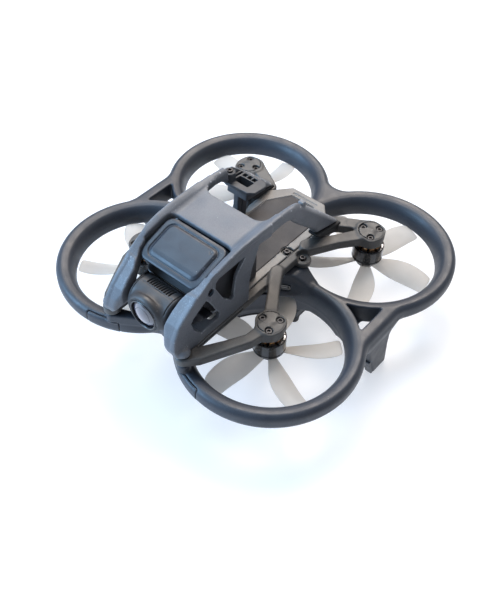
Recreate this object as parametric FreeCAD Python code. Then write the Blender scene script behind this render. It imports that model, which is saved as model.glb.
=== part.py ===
import FreeCAD, Part
import math
import os

# Ducted four-rotor camera drone. Millimetres, +Z up, front towards -Y, the drone's left towards +X.
# The origin is on the ground under the middle of the four rotor axes.

# ---- driving dimensions ----
MOTOR_X = 42.5
MOTOR_Y = 42.5
RING_RADIUS = 47.5
THROAT_RADIUS = 37.5
RIDGE_Z = 36.0
RIDGE_RADIUS = 44.7
THROAT_TOP_Z = 27.2
RING_FOOT_Z = 24.3
GUARD_SIDE_X = 81.5
SIDE_FILLET = 15.0
CORE_HALF_X = 20.3
CORE_HALF_Y = 35.8
CORE_GAP = 0.2
SHELL_WALL = 1.2
ARM_TOP_Z = 46.5
ARM_BOTTOM_Z = 41.0
DISC_RADIUS = 7.2
RAIL_TOP_Z = 45.6
DECK_Z = 46.0
TIP_X = 24.0
TIP_Y = -83.4
TIP_RADIUS = 3.6
RIM_TOP_Z = 39.9
GUARD_SCREW = (25.6, 5.0)
DECK_SCREW = (17.9, 1.4)
SCREW_CIRCLE = 5.0
SOCKET_CENTRE = (-16.0, 6.6, 72.0)
SOCKET_TILT = 6.0
SOCKET_LENGTH = 13.4
SOCKET_WIDTH = 11.0
SOCKET_DEPTH = 8.0
PORT_ANGLE = 29.0
PORT_Z = 31.0
PORT_X = MOTOR_X - THROAT_RADIUS * math.sin(math.radians(PORT_ANGLE))
PORT_Y = -MOTOR_Y + THROAT_RADIUS * math.cos(math.radians(PORT_ANGLE))
CAMERA_Y = -73.5
CAMERA_Z = 56.0
CAMERA_RADIUS = 9.2
CAMERA_HALF_WIDTH = 12.2
HOOD_FRONT_Y = -84.3
HOOD_HALF_WIDTH = 8.5
HOOD_HALF_HEIGHT = 8.25
HOOD_REACH = 13.6
LENS_TUBE_RADIUS = 6.2
LID_HALF_WIDTH = 18.9
BRACKET_INNER_X = 12.5
BRACKET_OUTER_X = 13.8
BELL_RADIUS = 8.4
BELL_BOTTOM_Z = 28.0
BELL_TOP_Z = 37.6
SHAFT_RADIUS = 1.5
BEARING_CLEARANCE = 0.03
PROPELLER_RADIUS = 36.4
PROPELLER_Z = 27.0
HUB_TOP = BELL_BOTTOM_Z - PROPELLER_Z - 0.05
BLADE_COUNT = 5
BLADE_ROOT_RADIUS = 4.4
REST_ANGLE = {
    (True, False): 41.0,
    (True, True): 9.5,
    (False, True): 12.0,
    (False, False): 4.0,
}
FAN_RADIUS = 12.5
OUT = "parts"


# ---- small shape helpers ----
def vec(x, y, z):
    return FreeCAD.Vector(x, y, z)


def block(x0, x1, y0, y1, z0, z1):
    return Part.makeBox(x1 - x0, y1 - y0, z1 - z0, vec(x0, y0, z0))


def disc(radius, z0, z1, x=0.0, y=0.0):
    return Part.makeCylinder(radius, z1 - z0, vec(x, y, z0))


def ring(outer, inner, z0, z1, x=0.0, y=0.0):
    return disc(outer, z0, z1, x, y).cut(disc(inner, z0, z1, x, y))


def rod_x(radius, x0, x1, y, z):
    return Part.makeCylinder(radius, x1 - x0, vec(x0, y, z), vec(1, 0, 0))


def rod_y(radius, y0, y1, x, z):
    return Part.makeCylinder(radius, y1 - y0, vec(x, y0, z), vec(0, 1, 0))


def rounded_face(points, radius):
    """Closed flat outline through 3-D points, each corner rounded to the radius."""
    count = len(points)
    starts = []
    ends = []
    arcs = []
    for i in range(count):
        corner = points[i]
        before = points[i - 1] - corner
        after = points[(i + 1) % count] - corner
        half_angle = before.getAngle(after) / 2
        reach = min(radius / math.tan(half_angle), 0.45 * before.Length, 0.45 * after.Length)
        start = corner + before.normalize() * reach
        end = corner + after.normalize() * reach
        bisector = (before + after).normalize()
        arc_radius = reach * math.tan(half_angle)
        middle = corner + bisector * (reach / math.cos(half_angle) - arc_radius)
        arcs.append(Part.Arc(start, middle, end).toShape())
        starts.append(start)
        ends.append(end)
    edges = []
    for i in range(count):
        edges.append(arcs[i])
        following = starts[(i + 1) % count]
        if (following - ends[i]).Length > 1e-6:
            edges.append(Part.LineSegment(ends[i], following).toShape())
    return Part.Face(Part.Wire(edges))


def plate_x(outline, x0, x1, radius=0.0):
    """Plate with a (y, z) outline between two x values."""
    return _plate([vec(x0, y, z) for y, z in outline], vec(x1 - x0, 0, 0), radius)


def plate_y(outline, y0, y1, radius=0.0):
    """Plate with an (x, z) outline between two y values."""
    return _plate([vec(x, y0, z) for x, z in outline], vec(0, y1 - y0, 0), radius)


def plate_z(outline, z0, z1, radius=0.0):
    """Plate with an (x, y) outline between two z values."""
    return _plate([vec(x, y, z0) for x, y in outline], vec(0, 0, z1 - z0), radius)


def _plate(points, direction, radius):
    if radius > 0:
        face = rounded_face(points, radius)
    else:
        face = Part.Face(Part.makePolygon(points + [points[0]]))
    return face.extrude(direction)


def beam(path, width, height):
    """Straight-sided bar along a path of (x, y, top z) points, level across its width."""
    sections = []
    last = len(path) - 1
    for i, (x, y, top) in enumerate(path):
        ahead = path[min(i + 1, last)]
        behind = path[max(i - 1, 0)]
        heading = vec(ahead[0] - behind[0], ahead[1] - behind[1], 0).normalize()
        side = vec(-heading.y, heading.x, 0) * (width / 2)
        base = vec(x, y, top)
        drop = vec(0, 0, -height)
        corners = [base + side, base - side, base - side + drop, base + side + drop]
        sections.append(Part.makePolygon(corners + [corners[0]]))
    return Part.makeLoft(sections, True, True)


def mirrored(shape):
    """The same piece on the drone's other side."""
    return shape.mirror(vec(0, 0, 0), vec(1, 0, 0))


def both_sides(shape):
    return Part.makeCompound([shape, mirrored(shape)])


def soften(shape, radius, keep):
    """Rounds the edges for which keep(edge) is true."""
    edges = [edge for edge in shape.Edges if keep(edge)]
    return shape.makeFillet(radius, edges)


def lies_at(edge, z):
    box = edge.BoundBox
    return abs(box.ZMin - z) < 1e-4 and abs(box.ZMax - z) < 1e-4


def upright(edge):
    box = edge.BoundBox
    return box.XLength < 1e-4 and box.YLength < 1e-4


def motor_axes():
    for name, x, y in (
        ("front_left", MOTOR_X, -MOTOR_Y),
        ("front_right", -MOTOR_X, -MOTOR_Y),
        ("rear_left", MOTOR_X, MOTOR_Y),
        ("rear_right", -MOTOR_X, MOTOR_Y),
    ):
        yield name, x, y


def duct_bores(radius, z0, z1):
    return [disc(radius, z0, z1, x, y) for _, x, y in motor_axes()]


def write(name, shape):
    shape.exportStep(os.path.join(OUT, name + ".step"))


# ---- propeller guard ----
def bell_mouth(x, y):
    """Space inside one duct: a straight throat whose lip rolls outward to the ridge."""
    lip = Part.BezierCurve()
    lip.setPoles([
        vec(THROAT_RADIUS, 0, THROAT_TOP_Z),
        vec(THROAT_RADIUS + 0.2, 0, THROAT_TOP_Z + 6.0),
        vec(RIDGE_RADIUS - 4.2, 0, RIDGE_Z - 1.4),
        vec(RIDGE_RADIUS, 0, RIDGE_Z + 0.1),
    ])
    top = RIDGE_Z + 10
    outline = [
        Part.LineSegment(vec(0, 0, 0), vec(THROAT_RADIUS, 0, 0)).toShape(),
        Part.LineSegment(vec(THROAT_RADIUS, 0, 0), vec(THROAT_RADIUS, 0, THROAT_TOP_Z)).toShape(),
        lip.toShape(),
        Part.LineSegment(vec(RIDGE_RADIUS, 0, RIDGE_Z + 0.1), vec(RIDGE_RADIUS, 0, top)).toShape(),
        Part.LineSegment(vec(RIDGE_RADIUS, 0, top), vec(0, 0, top)).toShape(),
        Part.LineSegment(vec(0, 0, top), vec(0, 0, 0)).toShape(),
    ]
    cutter = Part.Face(Part.Wire(outline)).revolve(vec(0, 0, 0), vec(0, 0, 1), 360)
    cutter.translate(vec(x, y, 0))
    return cutter


def guard_outline_block():
    """Four overlapping round blocks, joined by filleted webs and by a strut on each side."""
    block_shape = duct_bores(RING_RADIUS, RING_FOOT_Z, RIDGE_Z)
    reach = RING_RADIUS + SIDE_FILLET
    side_x = GUARD_SIDE_X + SIDE_FILLET
    side_y = math.sqrt(reach ** 2 - (side_x - MOTOR_X) ** 2) - MOTOR_Y
    side_y = abs(side_y)
    touch_x = MOTOR_X + RING_RADIUS / reach * (side_x - MOTOR_X)
    touch_y = MOTOR_Y - RING_RADIUS / reach * (MOTOR_Y - side_y)
    strut = plate_z([
        (60, -touch_y), (touch_x, -touch_y), (GUARD_SIDE_X, -side_y),
        (GUARD_SIDE_X, side_y), (touch_x, touch_y), (60, touch_y),
    ], RING_FOOT_Z, RIDGE_Z)
    corners = [disc(SIDE_FILLET, 0, 50, side_x, y) for y in (-side_y, side_y)]
    strut = strut.cut(corners)

    web_y = 71.5
    depth = web_y - MOTOR_Y
    web_fillet = (MOTOR_X ** 2 + depth ** 2 - RING_RADIUS ** 2) / (2 * (RING_RADIUS - depth))
    web_reach = RING_RADIUS + web_fillet
    web_x = MOTOR_X * (1 - RING_RADIUS / web_reach)
    web_end = MOTOR_Y + RING_RADIUS / web_reach * (web_y + web_fillet - MOTOR_Y)
    web = block(-web_x, web_x, 60, web_end, RING_FOOT_Z, RIDGE_Z)
    web = web.cut(disc(web_fillet, 0, 50, 0, web_y + web_fillet))
    front_web = web.mirror(vec(0, 0, 0), vec(0, 1, 0))
    first = block_shape[0]
    return first.fuse(block_shape[1:] + [strut, mirrored(strut), web, front_web]).removeSplitter()


def side_window():
    """The three-cornered gap between the two rings and the strut, on the left side."""
    gap = block(50, 73.6, -16, 16, 0, 60)
    gap = gap.cut([disc(45.2, 0, 60, MOTOR_X, y) for y in (-MOTOR_Y, MOTOR_Y)])
    return soften(gap, 1.2, upright)


def duct_skirt():
    """Deeper duct wall between the two left ducts, next to the body."""
    wall = plate_y([
        (20.5, 14), (30, 16), (40, 20), (60, 20), (66, RING_FOOT_Z), (66, RING_FOOT_Z + 1),
        (20.5, RING_FOOT_Z + 1),
    ], -14, 14)
    return wall.cut([disc(THROAT_RADIUS, 0, 60, MOTOR_X, y) for y in (-MOTOR_Y, MOTOR_Y)])


def guard_shoulder():
    """Raised root of the left web, which the arm's lug rests on."""
    root = plate_y([(20.5, 27), (20.5, 40), (28.5, 40), (37, 35.4), (37, 27)], -14, 14)
    return root.cut([disc(39.2, 0, 60, MOTOR_X, y) for y in (-MOTOR_Y, MOTOR_Y)])


def front_rim():
    """Raised bar along the front web, from one arm tip to the other; it carries the tips."""
    path = [(-TIP_X, TIP_Y), (-16.0, -79.0), (-8.0, -74.2), (0.0, -72.4), (8.0, -74.2), (16.0, -79.0), (TIP_X, TIP_Y)]
    bar = beam([(x, y, RIM_TOP_Z) for x, y in path], 5.2, RIM_TOP_Z - 34.0)
    return bar.fuse([disc(TIP_RADIUS - 0.3, 33.0, RIM_TOP_Z, side * TIP_X, TIP_Y) for side in (-1, 1)])


def side_leg():
    """Landing leg: a thin plate under the left strut."""
    return plate_x([
        (-2, 0), (9.6, 0), (8.6, 15), (8.0, 23), (10.5, 28), (16, 31), (-19, 31), (-13.5, 27),
        (-9.5, 21),
    ], 77.3, GUARD_SIDE_X, 1.4)


def port_pocket(depth, width, height):
    """Rounded slot in the front left duct wall, square to that wall."""
    pocket = block(-width / 2, width / 2, -0.5, depth, -height / 2, height / 2)
    pocket = soften(pocket, height * 0.45, lambda edge: edge.BoundBox.YLength > depth)
    pocket.rotate(vec(0, 0, 0), vec(0, 0, 1), PORT_ANGLE)
    pocket.translate(vec(PORT_X, PORT_Y, PORT_Z))
    return pocket


def guard_blank():
    """Left half of the guard before its openings are cut."""
    body = guard_outline_block()
    body = soften(body, 2.7, lambda edge: lies_at(edge, RIDGE_Z))
    body = soften(body, 6.0, lambda edge: lies_at(edge, RING_FOOT_Z))
    body = body.common(block(0, 120, -120, 120, 0, 60))
    body = body.cut([bell_mouth(MOTOR_X, y) for y in (-MOTOR_Y, MOTOR_Y)])
    return body.cut([bell_mouth(-MOTOR_X, y) for y in (-MOTOR_Y, MOTOR_Y)])


def clip_room():
    """Outer skin of the front left ring below the frame's tip, where the antenna cap sits."""
    sector = plate_z([(MOTOR_X, -MOTOR_Y), (MOTOR_X - 22, -100), (MOTOR_X - 9.2, -100)], 26.5, 34.6)
    return sector.common(ring(60, 46.0, 20, 40, MOTOR_X, -MOTOR_Y))


def antenna_cap():
    return guard_blank().common(clip_room()).cut(front_rim())


def guard_left():
    body = guard_blank()
    core = block(-1, CORE_HALF_X + CORE_GAP, -CORE_HALF_Y - CORE_GAP, CORE_HALF_Y + CORE_GAP, 0, 60)
    body = body.cut([side_window(), core, clip_room()])
    rim = front_rim().common(block(0, 120, -120, 0, 0, 60))
    body = body.fuse([duct_skirt(), guard_shoulder(), side_leg(), rim])
    lug_seat = disc(4.7, 40.0, 60, GUARD_SCREW[0], GUARD_SCREW[1])
    screw_hole = disc(0.85, 36, 60, GUARD_SCREW[0], GUARD_SCREW[1])
    body = body.cut([port_pocket(4.5, 9.0, 3.6), lug_seat, screw_hole])
    return body.removeSplitter()


def leg_pad():
    """Rubber strip on the lower front edge of the left leg."""
    strip = plate_x([(-2.1, 0.4), (-3.9, 1.2), (-8.6, 14), (-6.2, 13.6)], 77.6, GUARD_SIDE_X - 0.3, 0.5)
    return strip.cut(side_leg())


# ---- arms ----
def arm_left():
    """Left casting: two motor discs, their struts and the rail beside the deck."""
    top = ARM_TOP_Z
    thick = ARM_TOP_Z - ARM_BOTTOM_Z
    pieces = [
        disc(DISC_RADIUS, ARM_BOTTOM_Z, top, MOTOR_X, -MOTOR_Y),
        disc(DISC_RADIUS, ARM_BOTTOM_Z, top, MOTOR_X, MOTOR_Y),
        beam([(22.6, -13.0, top), (40.6, -40.6, top)], 6.4, thick),
        beam([(22.5, 12, top), (41, 41, top)], 7.6, thick),
        beam([(21.5, 42.2, top - 0.5), (42, 42.2, top - 0.5)], 5.0, thick - 0.5),
        beam([(42.5, -45.5, top), (40.6, -56.5, top), (35.4, -66, 46.2), (27.4, -79.5, 45.9)], 6.0, 4.9),
        disc(TIP_RADIUS + 0.4, ARM_BOTTOM_Z, RAIL_TOP_Z, TIP_X, TIP_Y),
        block(20.5, 25.0, TIP_Y, 44.7, ARM_BOTTOM_Z, RAIL_TOP_Z),
        block(15.2, 22.0, -1.6, 4.4, ARM_BOTTOM_Z, 45.0),
        disc(4.6, 40.0, 43.0, GUARD_SCREW[0], GUARD_SCREW[1]),
    ]
    arm = pieces[0].fuse(pieces[1:]).removeSplitter()
    recess = ring(6.7, 6.45, top - 0.35, top + 1, MOTOR_X, -MOTOR_Y)
    seams = [recess, recess.translated(vec(0, 2 * MOTOR_Y, 0))]
    holes = [disc(1.9, 0, 60, x, y) for x, y in screw_places() if x > 0]
    holes.append(disc(1.0, 0, 43.05, *GUARD_SCREW))
    holes.append(disc(2.0, 43.0, 60, *GUARD_SCREW))
    holes.append(disc(1.0, 0, 60, *DECK_SCREW))
    arm = arm.cut(seams + holes)
    return arm.cut([guard_shoulder(), cheek_left(), rail_left(), deck_blank()])


def screw_places():
    """Three screws on each motor disc."""
    for _, x, y in motor_axes():
        for turn in (60, 180, 300):
            angle = math.radians(turn if x > 0 else 180 - turn)
            yield x + SCREW_CIRCLE * math.cos(angle), y + SCREW_CIRCLE * math.sin(angle)


def socket_screw(x, y, head_z, shank_bottom):
    """Button-head socket screw, head up."""
    head = disc(1.8, head_z - 1.0, head_z, x, y)
    shank = disc(0.85, shank_bottom, head_z - 0.9, x, y)
    hexagon = []
    for i in range(6):
        angle = math.radians(60 * i)
        hexagon.append((x + 0.85 * math.cos(angle), y + 0.85 * math.sin(angle)))
    socket = plate_z(hexagon, head_z - 0.8, head_z + 1)
    return head.fuse(shank).cut(socket)


def motor_screws():
    return Part.makeCompound([socket_screw(x, y, ARM_TOP_Z, 39.6) for x, y in screw_places()])


def guard_screws():
    screw = socket_screw(GUARD_SCREW[0], GUARD_SCREW[1], 44.0, 38.5)
    return both_sides(screw)


def deck_screws():
    screw = socket_screw(DECK_SCREW[0], DECK_SCREW[1], 46.0, 39.6)
    return both_sides(screw)


# ---- upper frame ----
CHEEK_OUTLINE = [
    (-27, 83.2), (-40, 83.1), (-50, 81.9), (-59.5, 79.4), (-67.2, 75.6), (-74.5, 68.8), (-79.4, 65.0),
    (-83.2, 61.2), (-87.0, 55.2), (-88.5, 50.5), (-87.4, RAIL_TOP_Z), (-37.0, RAIL_TOP_Z), (-28.0, 75.7),
    (-26.5, 83.2),
]
RAIL_OUTLINE = [
    (-27.5, 83.2), (-18, 82.9), (-9, 82.4), (0, 81.0), (6.4, 76.5), (37.8, 46.2), (18.0, 46.2), (16.8, 50.0),
    (4.4, 63.1), (-4.3, 74.1), (-11.5, 76.2), (-20, 75.0), (-27.5, 74.5),
]
CHEEK_SLAB = [
    (23.8, 84), (23.3, 75), (22.5, 67), (22.9, 55), (24.4, 46), (24.4, 40), (22.0, 40), (20.6, 55), (20.4, 67),
    (20.6, 75), (20.4, 84),
]
RAIL_SLAB = [(23.8, 84), (23.6, 75), (24.9, 46), (21.0, 46), (20.2, 75), (19.4, 84)]


def cheek_windows():
    """Two large windows and a round hole through the cheek."""
    upper = plate_x([
        (-58.3, 68.4), (-58.1, 71.8), (-56.2, 73.5), (-37.4, 73.7), (-43.8, 65.3), (-46.3, 53.6), (-48.2, 53.0),
        (-52.8, 57.4),
    ], 10, 40, 1.2)
    lower = plate_x([
        (-65.2, 66.0), (-62.3, 62.2), (-57.0, 51.4), (-58.4, 49.4), (-70.6, 49.8), (-74.0, 53.4), (-75.4, 59.1),
        (-73.6, 61.0),
    ], 10, 40, 1.2)
    return [upper, lower, rod_x(2.0, 10, 40, -61.6, 68.7)]


def tip_boss():
    """Domed boss under the nose, bolted through the arm's tip."""
    return soften(disc(TIP_RADIUS, RAIL_TOP_Z, 49.8, TIP_X, TIP_Y), 2.4, lambda edge: lies_at(edge, 49.8))


def cheek_left():
    side = plate_x(CHEEK_OUTLINE, 10, 30, 1.2).common(plate_y(CHEEK_SLAB, -100, -26))
    nose_plan = plate_z([(13.4, -84.2), (21.8, -89.6), (26, -84), (25, -74), (19.6, -62), (18.6, -65.5), (14.4, -74)],
                        30, 84)
    nose = plate_x(CHEEK_OUTLINE, 10, 30, 1.2).common(nose_plan)
    nose = nose.common(plate_y([
        (13.2, 84), (23.8, 84), (23.3, 75), (22.5, 67), (22.9, 55), (24.4, 46), (24.4, 40), (18.8, 40), (18.6, 46),
        (16.0, 49), (13.2, 54),
    ], -100, -50))
    return side.fuse([nose, tip_boss()]).cut(cheek_windows())


def rail_left():
    return plate_x(RAIL_OUTLINE, 10, 30, 2.0).common(plate_y(RAIL_SLAB, -27, 60))


def bridge():
    """Saddle-shaped deck between the cheeks and the rails, with the lid's opening ahead of it."""
    saddle = plate_y([
        (-23.6, 83.2), (-21.0, 83.2), (-15, 81.6), (15, 81.6), (21.0, 83.2), (23.6, 83.2), (23.4, 79.0),
        (-23.4, 79.0),
    ], -56, -12)
    lid_gap = plate_z([(-20.2, -80), (20.2, -80), (20.2, -42.2), (-20.2, -42.2)], 60, 90, 5.5)
    bay_gap = plate_z([(-19.4, -21.7), (19.4, -21.7), (19.4, 30), (-19.4, 30)], 60, 90, 6.5)
    profile = plate_x(CHEEK_OUTLINE, -30, 30).fuse(plate_x(RAIL_OUTLINE, -30, 30))
    return saddle.common(profile).cut([lid_gap, bay_gap])


def upper_frame():
    left = cheek_left().fuse(rail_left())
    right = mirrored(left)
    frame = left.fuse([right, bridge()]).removeSplitter()
    socket_room = power_socket_room()
    frame = frame.cut([socket_room])
    return frame


# ---- battery connector on the right rear leg ----
def place_socket(shape):
    shape.rotate(vec(0, 0, 0), vec(1, 0, 0), -SOCKET_TILT)
    shape.translate(vec(*SOCKET_CENTRE))
    return shape


def power_socket_room():
    size_x = SOCKET_LENGTH / 2 + 0.1
    size_y = SOCKET_WIDTH / 2 + 0.1
    return place_socket(block(-size_x, size_x, -size_y, size_y, -SOCKET_DEPTH - 0.1, 1.0))


def power_socket():
    half_x = SOCKET_LENGTH / 2
    half_y = SOCKET_WIDTH / 2
    body = block(-half_x, half_x, -half_y, half_y, -SOCKET_DEPTH, 0)
    body = soften(body, 0.6, upright)
    recess = block(-half_x + 3.4, half_x - 1.0, -half_y + 1.0, 0.6, -5.5, 1)
    slot = block(-half_x + 1.0, -half_x + 2.2, -half_y + 1.0, half_y - 1.0, -5.5, 1)
    body = body.cut([recess, slot] + socket_holes(0.0))
    return place_socket(body)


def socket_holes(inset):
    holes = []
    for i in range(3):
        x = -3.2 + 3.1 * i
        holes.append(block(x + inset, x + 2.4 - inset, 1.6 + inset, 4.4 - inset, -6.5, 1))
    return holes


def socket_contacts():
    """Spring blades at the bottom of the three contact holes."""
    blades = []
    for i in range(3):
        x = -3.2 + 3.1 * i
        blades.append(place_socket(block(x + 0.4, x + 2.0, 2.7, 3.3, -6.5, -1.6)))
    return Part.makeCompound(blades)


def socket_stand():
    """Pedestal that carries the socket from the deck."""
    leg = plate_x([(1.5, 46.05), (9.0, 46.05), (11.0, 65.4), (2.6, 65.4)], -20.0, -16.4, 0.8)
    return leg.cut(power_socket_room())


# ---- deck and lower body ----
def deck_outline():
    return [(-20.3, -36), (20.3, -36), (20.3, 33), (11, 43.8), (-11, 43.8), (-20.3, 33)]


def deck_blank():
    """Deck plate before its recess; the side notches are open for the arms' lugs."""
    return plate_z(deck_outline(), 44.4, DECK_Z, 2.0).cut(deck_notches())


def bay_floor():
    recess = plate_z(label_outline(0.0), DECK_Z - 0.5, DECK_Z + 1, 1.5)
    return deck_blank().cut(recess)


def label_outline(inset):
    half = 15.8 - inset
    return [(-half, -22 + inset), (half, -22 + inset), (half, 25), (7.5, 38 - inset), (-7.5, 38 - inset), (-half, 25)]


def deck_notches():
    notches = []
    for side in (-1, 1):
        x = side * DECK_SCREW[0]
        notches.append(disc(3.1, 40, 60, x, DECK_SCREW[1]))
        notches.append(block(min(x, side * 22), max(x, side * 22), -1.7, 4.5, 40, 60))
    return notches


def floor_label():
    return plate_z(label_outline(0.3), DECK_Z - 0.5, DECK_Z - 0.3, 1.3)


def core_prism(half_x, half_y, clear_radius, z0, z1):
    """Four-cornered star that fits between the four ducts."""
    return block(-half_x, half_x, -half_y, half_y, z0, z1).cut(duct_bores(clear_radius, 0, 90))


def lower_shell():
    outer = core_prism(CORE_HALF_X, CORE_HALF_Y, 38.7, 13.8, 44.4)
    outer = outer.fuse(core_prism(32, CORE_HALF_Y, 38.7, 9.0, 13.8)).removeSplitter()
    room = core_prism(CORE_HALF_X - SHELL_WALL, CORE_HALF_Y - SHELL_WALL, 38.7 + SHELL_WALL, 0, 60)
    shell = outer.cut(room)
    pocket = port_pocket(4.5, 9.0, 3.6)
    shell = shell.cut(wall_louvres() + [pocket, mirrored(pocket)])
    lug_room = [block(15.0, 30, -1.8, 4.6, 40.8, 60), block(-30, -15.0, -1.8, 4.6, 40.8, 60)]
    screw_room = [disc(1.3, 38, 60, side * DECK_SCREW[0], DECK_SCREW[1]) for side in (-1, 1)]
    return shell.cut(lug_room + screw_room)


def wall_louvres():
    """Four cooling slots through each hollow wall."""
    slots = []
    for quarter in range(4):
        for level in range(4):
            z = 24.0 + 4.0 * level
            slot = block(16, 28, -6.5, 6.5, z, z + 1.3)
            slot.rotate(vec(0, 0, 0), vec(0, 0, 1), 45 + 90 * quarter)
            slots.append(slot)
    return slots


def belly_cover():
    plate = core_prism(32, CORE_HALF_Y, 38.7, 7.6, 9.0)
    vents = [block(-8, 8, y, y + 1.4, 0, 20) for y in (-3.5, -0.7, 2.1)]
    windows = [disc(3.1, 0, 20, 0, y) for y in (-22, 22)]
    button_hole = disc(2.0, 0, 20, 0, -13)
    return plate.cut(vents + windows + [button_hole])


def belly_feet():
    foot = Part.makeCone(3.4, 2.6, 7.6, vec(27.2, 0, 7.6), vec(0, 0, -1))
    rear = Part.makeCone(3.0, 2.4, 7.6, vec(0, 30.5, 7.6), vec(0, 0, -1))
    front = rear.mirror(vec(0, 0, 0), vec(0, 1, 0))
    return Part.makeCompound([foot, mirrored(foot), rear, front])


def down_sensors():
    """Two downward lenses, sitting in the belly cover."""
    lenses = []
    for y in (-22, 22):
        barrel = disc(3.0, 7.9, 12.5, 0, y)
        lenses.append(barrel.cut(disc(2.0, 0, 8.6, 0, y)))
    return Part.makeCompound(lenses)


def link_button():
    cap = disc(1.7, 7.8, 10.0, 0, -13)
    return cap.fuse(disc(2.6, 9.3, 10.0, 0, -13)).removeSplitter()


# ---- electronics ----
def square_board(half, z0, z1):
    board = block(-half, half, -half, half, z0, z1)
    board.rotate(vec(0, 0, 0), vec(0, 0, 1), 45)
    return board.common(block(-18.6, 18.6, -28, 28, 0, 90))


def esc_board():
    board = square_board(17.5, 13.2, 14.2)
    chips = []
    for quarter in range(4):
        chip = block(9.5, 14.5, -4.5, 4.5, 14.2, 15.4)
        chip.rotate(vec(0, 0, 0), vec(0, 0, 1), 45 + 90 * quarter)
        chips.append(chip)
    return board.fuse(chips)


def main_board():
    board = square_board(17.5, 38.0, 39.0)
    chip = block(-6, 6, -6, 6, 36.8, 38.0)
    return board.fuse(chip)


def heat_sink():
    base = square_board(15.0, 34.8, 36.8)
    fins = [block(x, x + 0.8, -10, 10, 28.5, 34.8) for x in (-9.6, -6.4, -3.2, 0, 3.2, 6.4, 9.6)]
    return base.fuse(fins)


def fan_housing():
    case = ring(14.2, FAN_RADIUS + 0.5, 17.0, 27.0)
    floor = disc(13.5, 17.0, 17.8).cut(ring(12.2, 5.2, 16, 19))
    spokes = []
    for turn in range(3):
        spoke = block(4.5, 13.4, -0.8, 0.8, 17.0, 17.8)
        spoke.rotate(vec(0, 0, 0), vec(0, 0, 1), 120 * turn + 30)
        spokes.append(spoke)
    post = ring(2.2, 1.05, 17.0, 22.0)
    return case.fuse([floor, post] + spokes).cut(disc(1.05, 16.9, 22.5)).removeSplitter()


def fan_rotor():
    hub = disc(5.5, 18.4, 26.2).cut(disc(4.6, 18.0, 25.0))
    spindle = disc(1.0, 17.9, 25.4)
    blades = []
    for turn in range(9):
        blade = plate_x([(-1.6, 19.0), (-0.9, 19.0), (1.9, 25.6), (1.2, 25.6)], 5.2, 12.1)
        blade.rotate(vec(0, 0, 0), vec(0, 0, 1), 40 * turn)
        blades.append(blade)
    return hub.fuse([spindle] + blades).removeSplitter()


def usb_port():
    shell = port_pocket(4.4, 8.6, 3.2)
    mouth = port_pocket(3.4, 7.6, 2.2)
    room = port_pocket(0.9, 12, 6)
    tongue = port_pocket(3.9, 5.6, 0.7)
    return shell.cut([mouth, room]).fuse(tongue.cut(room)).removeSplitter()


def card_slot():
    shell = port_pocket(4.4, 8.6, 3.2).cut([port_pocket(3.4, 7.8, 1.3), port_pocket(0.9, 12, 6)])
    return mirrored(shell)


def receiver_module():
    """Satellite receiver under the lid."""
    return soften(block(-9, 9, -58, -40, 66.5, 70.5), 0.8, upright)


# ---- head ----
HEAD_OUTLINE = [
    (-23, 46.2), (-23, 76.2), (-42, 75.2), (-66.5, 70.2), (-68.8, 69.2), (-66.5, 62.5), (-58, 50), (-56, 46.2),
]


def head_shell():
    """Dark housing behind the camera, hollow for the electronics."""
    plan = plate_z([(-18.2, -20), (-18.2, -62), (-13.5, -70), (13.5, -70), (18.2, -62), (18.2, -20)], 40, 90)
    shell = plate_x(HEAD_OUTLINE, -18.2, 18.2, 1.2).common(plan)
    room = plate_x([(-24.5, 47.8), (-24.5, 72), (-42, 71), (-52, 69), (-50, 47.8)], -16.4, 16.4, 1.0)
    shell = shell.cut([room, camera_sweep()])
    module_room = block(-9.1, 9.1, -58.1, -39.9, 66.4, 70.6)
    return shell.cut(module_room)


def camera_sweep():
    """Room for the barrel, and for the hood over its whole tilt."""
    barrel = rod_x(CAMERA_RADIUS + 0.8, -20, 20, CAMERA_Y, CAMERA_Z)
    hood = rod_x(HOOD_REACH + 0.6, -20, 20, CAMERA_Y, CAMERA_Z)
    behind = plate_x([
        (CAMERA_Y, CAMERA_Z), (CAMERA_Y + 14.0, CAMERA_Z + 14.0), (-40, 90), (-40, 20),
        (CAMERA_Y + 16, CAMERA_Z - 18),
    ], -21, 21)
    return barrel.fuse(hood.cut(behind))


def top_cover():
    """Raised lid, a rounded square that slopes and curves down to the front."""
    outline = [(-43.8, 75.3), (-43.8, 80.2), (-51, 78.7), (-57, 76.9), (-62, 75.1), (-65.4, 73.4), (-67.8, 71.8),
               (-68.5, 70.8), (-66.5, 70.2)]
    half = LID_HALF_WIDTH
    plan = plate_z([(-half, -68.6), (half, -68.6), (half, -43.8), (-half, -43.8)], 60, 90, 5.0)
    lid = plate_x(outline, -half, half).common(plan)
    panel = plate_z([(-14.6, -64.8), (14.6, -64.8), (14.6, -47.4), (-14.6, -47.4)], 70, 90, 3.0)
    raised = plate_x([(-46, 76), (-46, 80.5), (-51, 79.3), (-57, 77.5), (-62, 75.7), (-66, 73.6), (-66, 70)], -15, 15)
    lid = lid.fuse(raised.common(panel)).removeSplitter()
    return lid.cut([head_shell(), cheek_left(), mirrored(cheek_left())])


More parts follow.
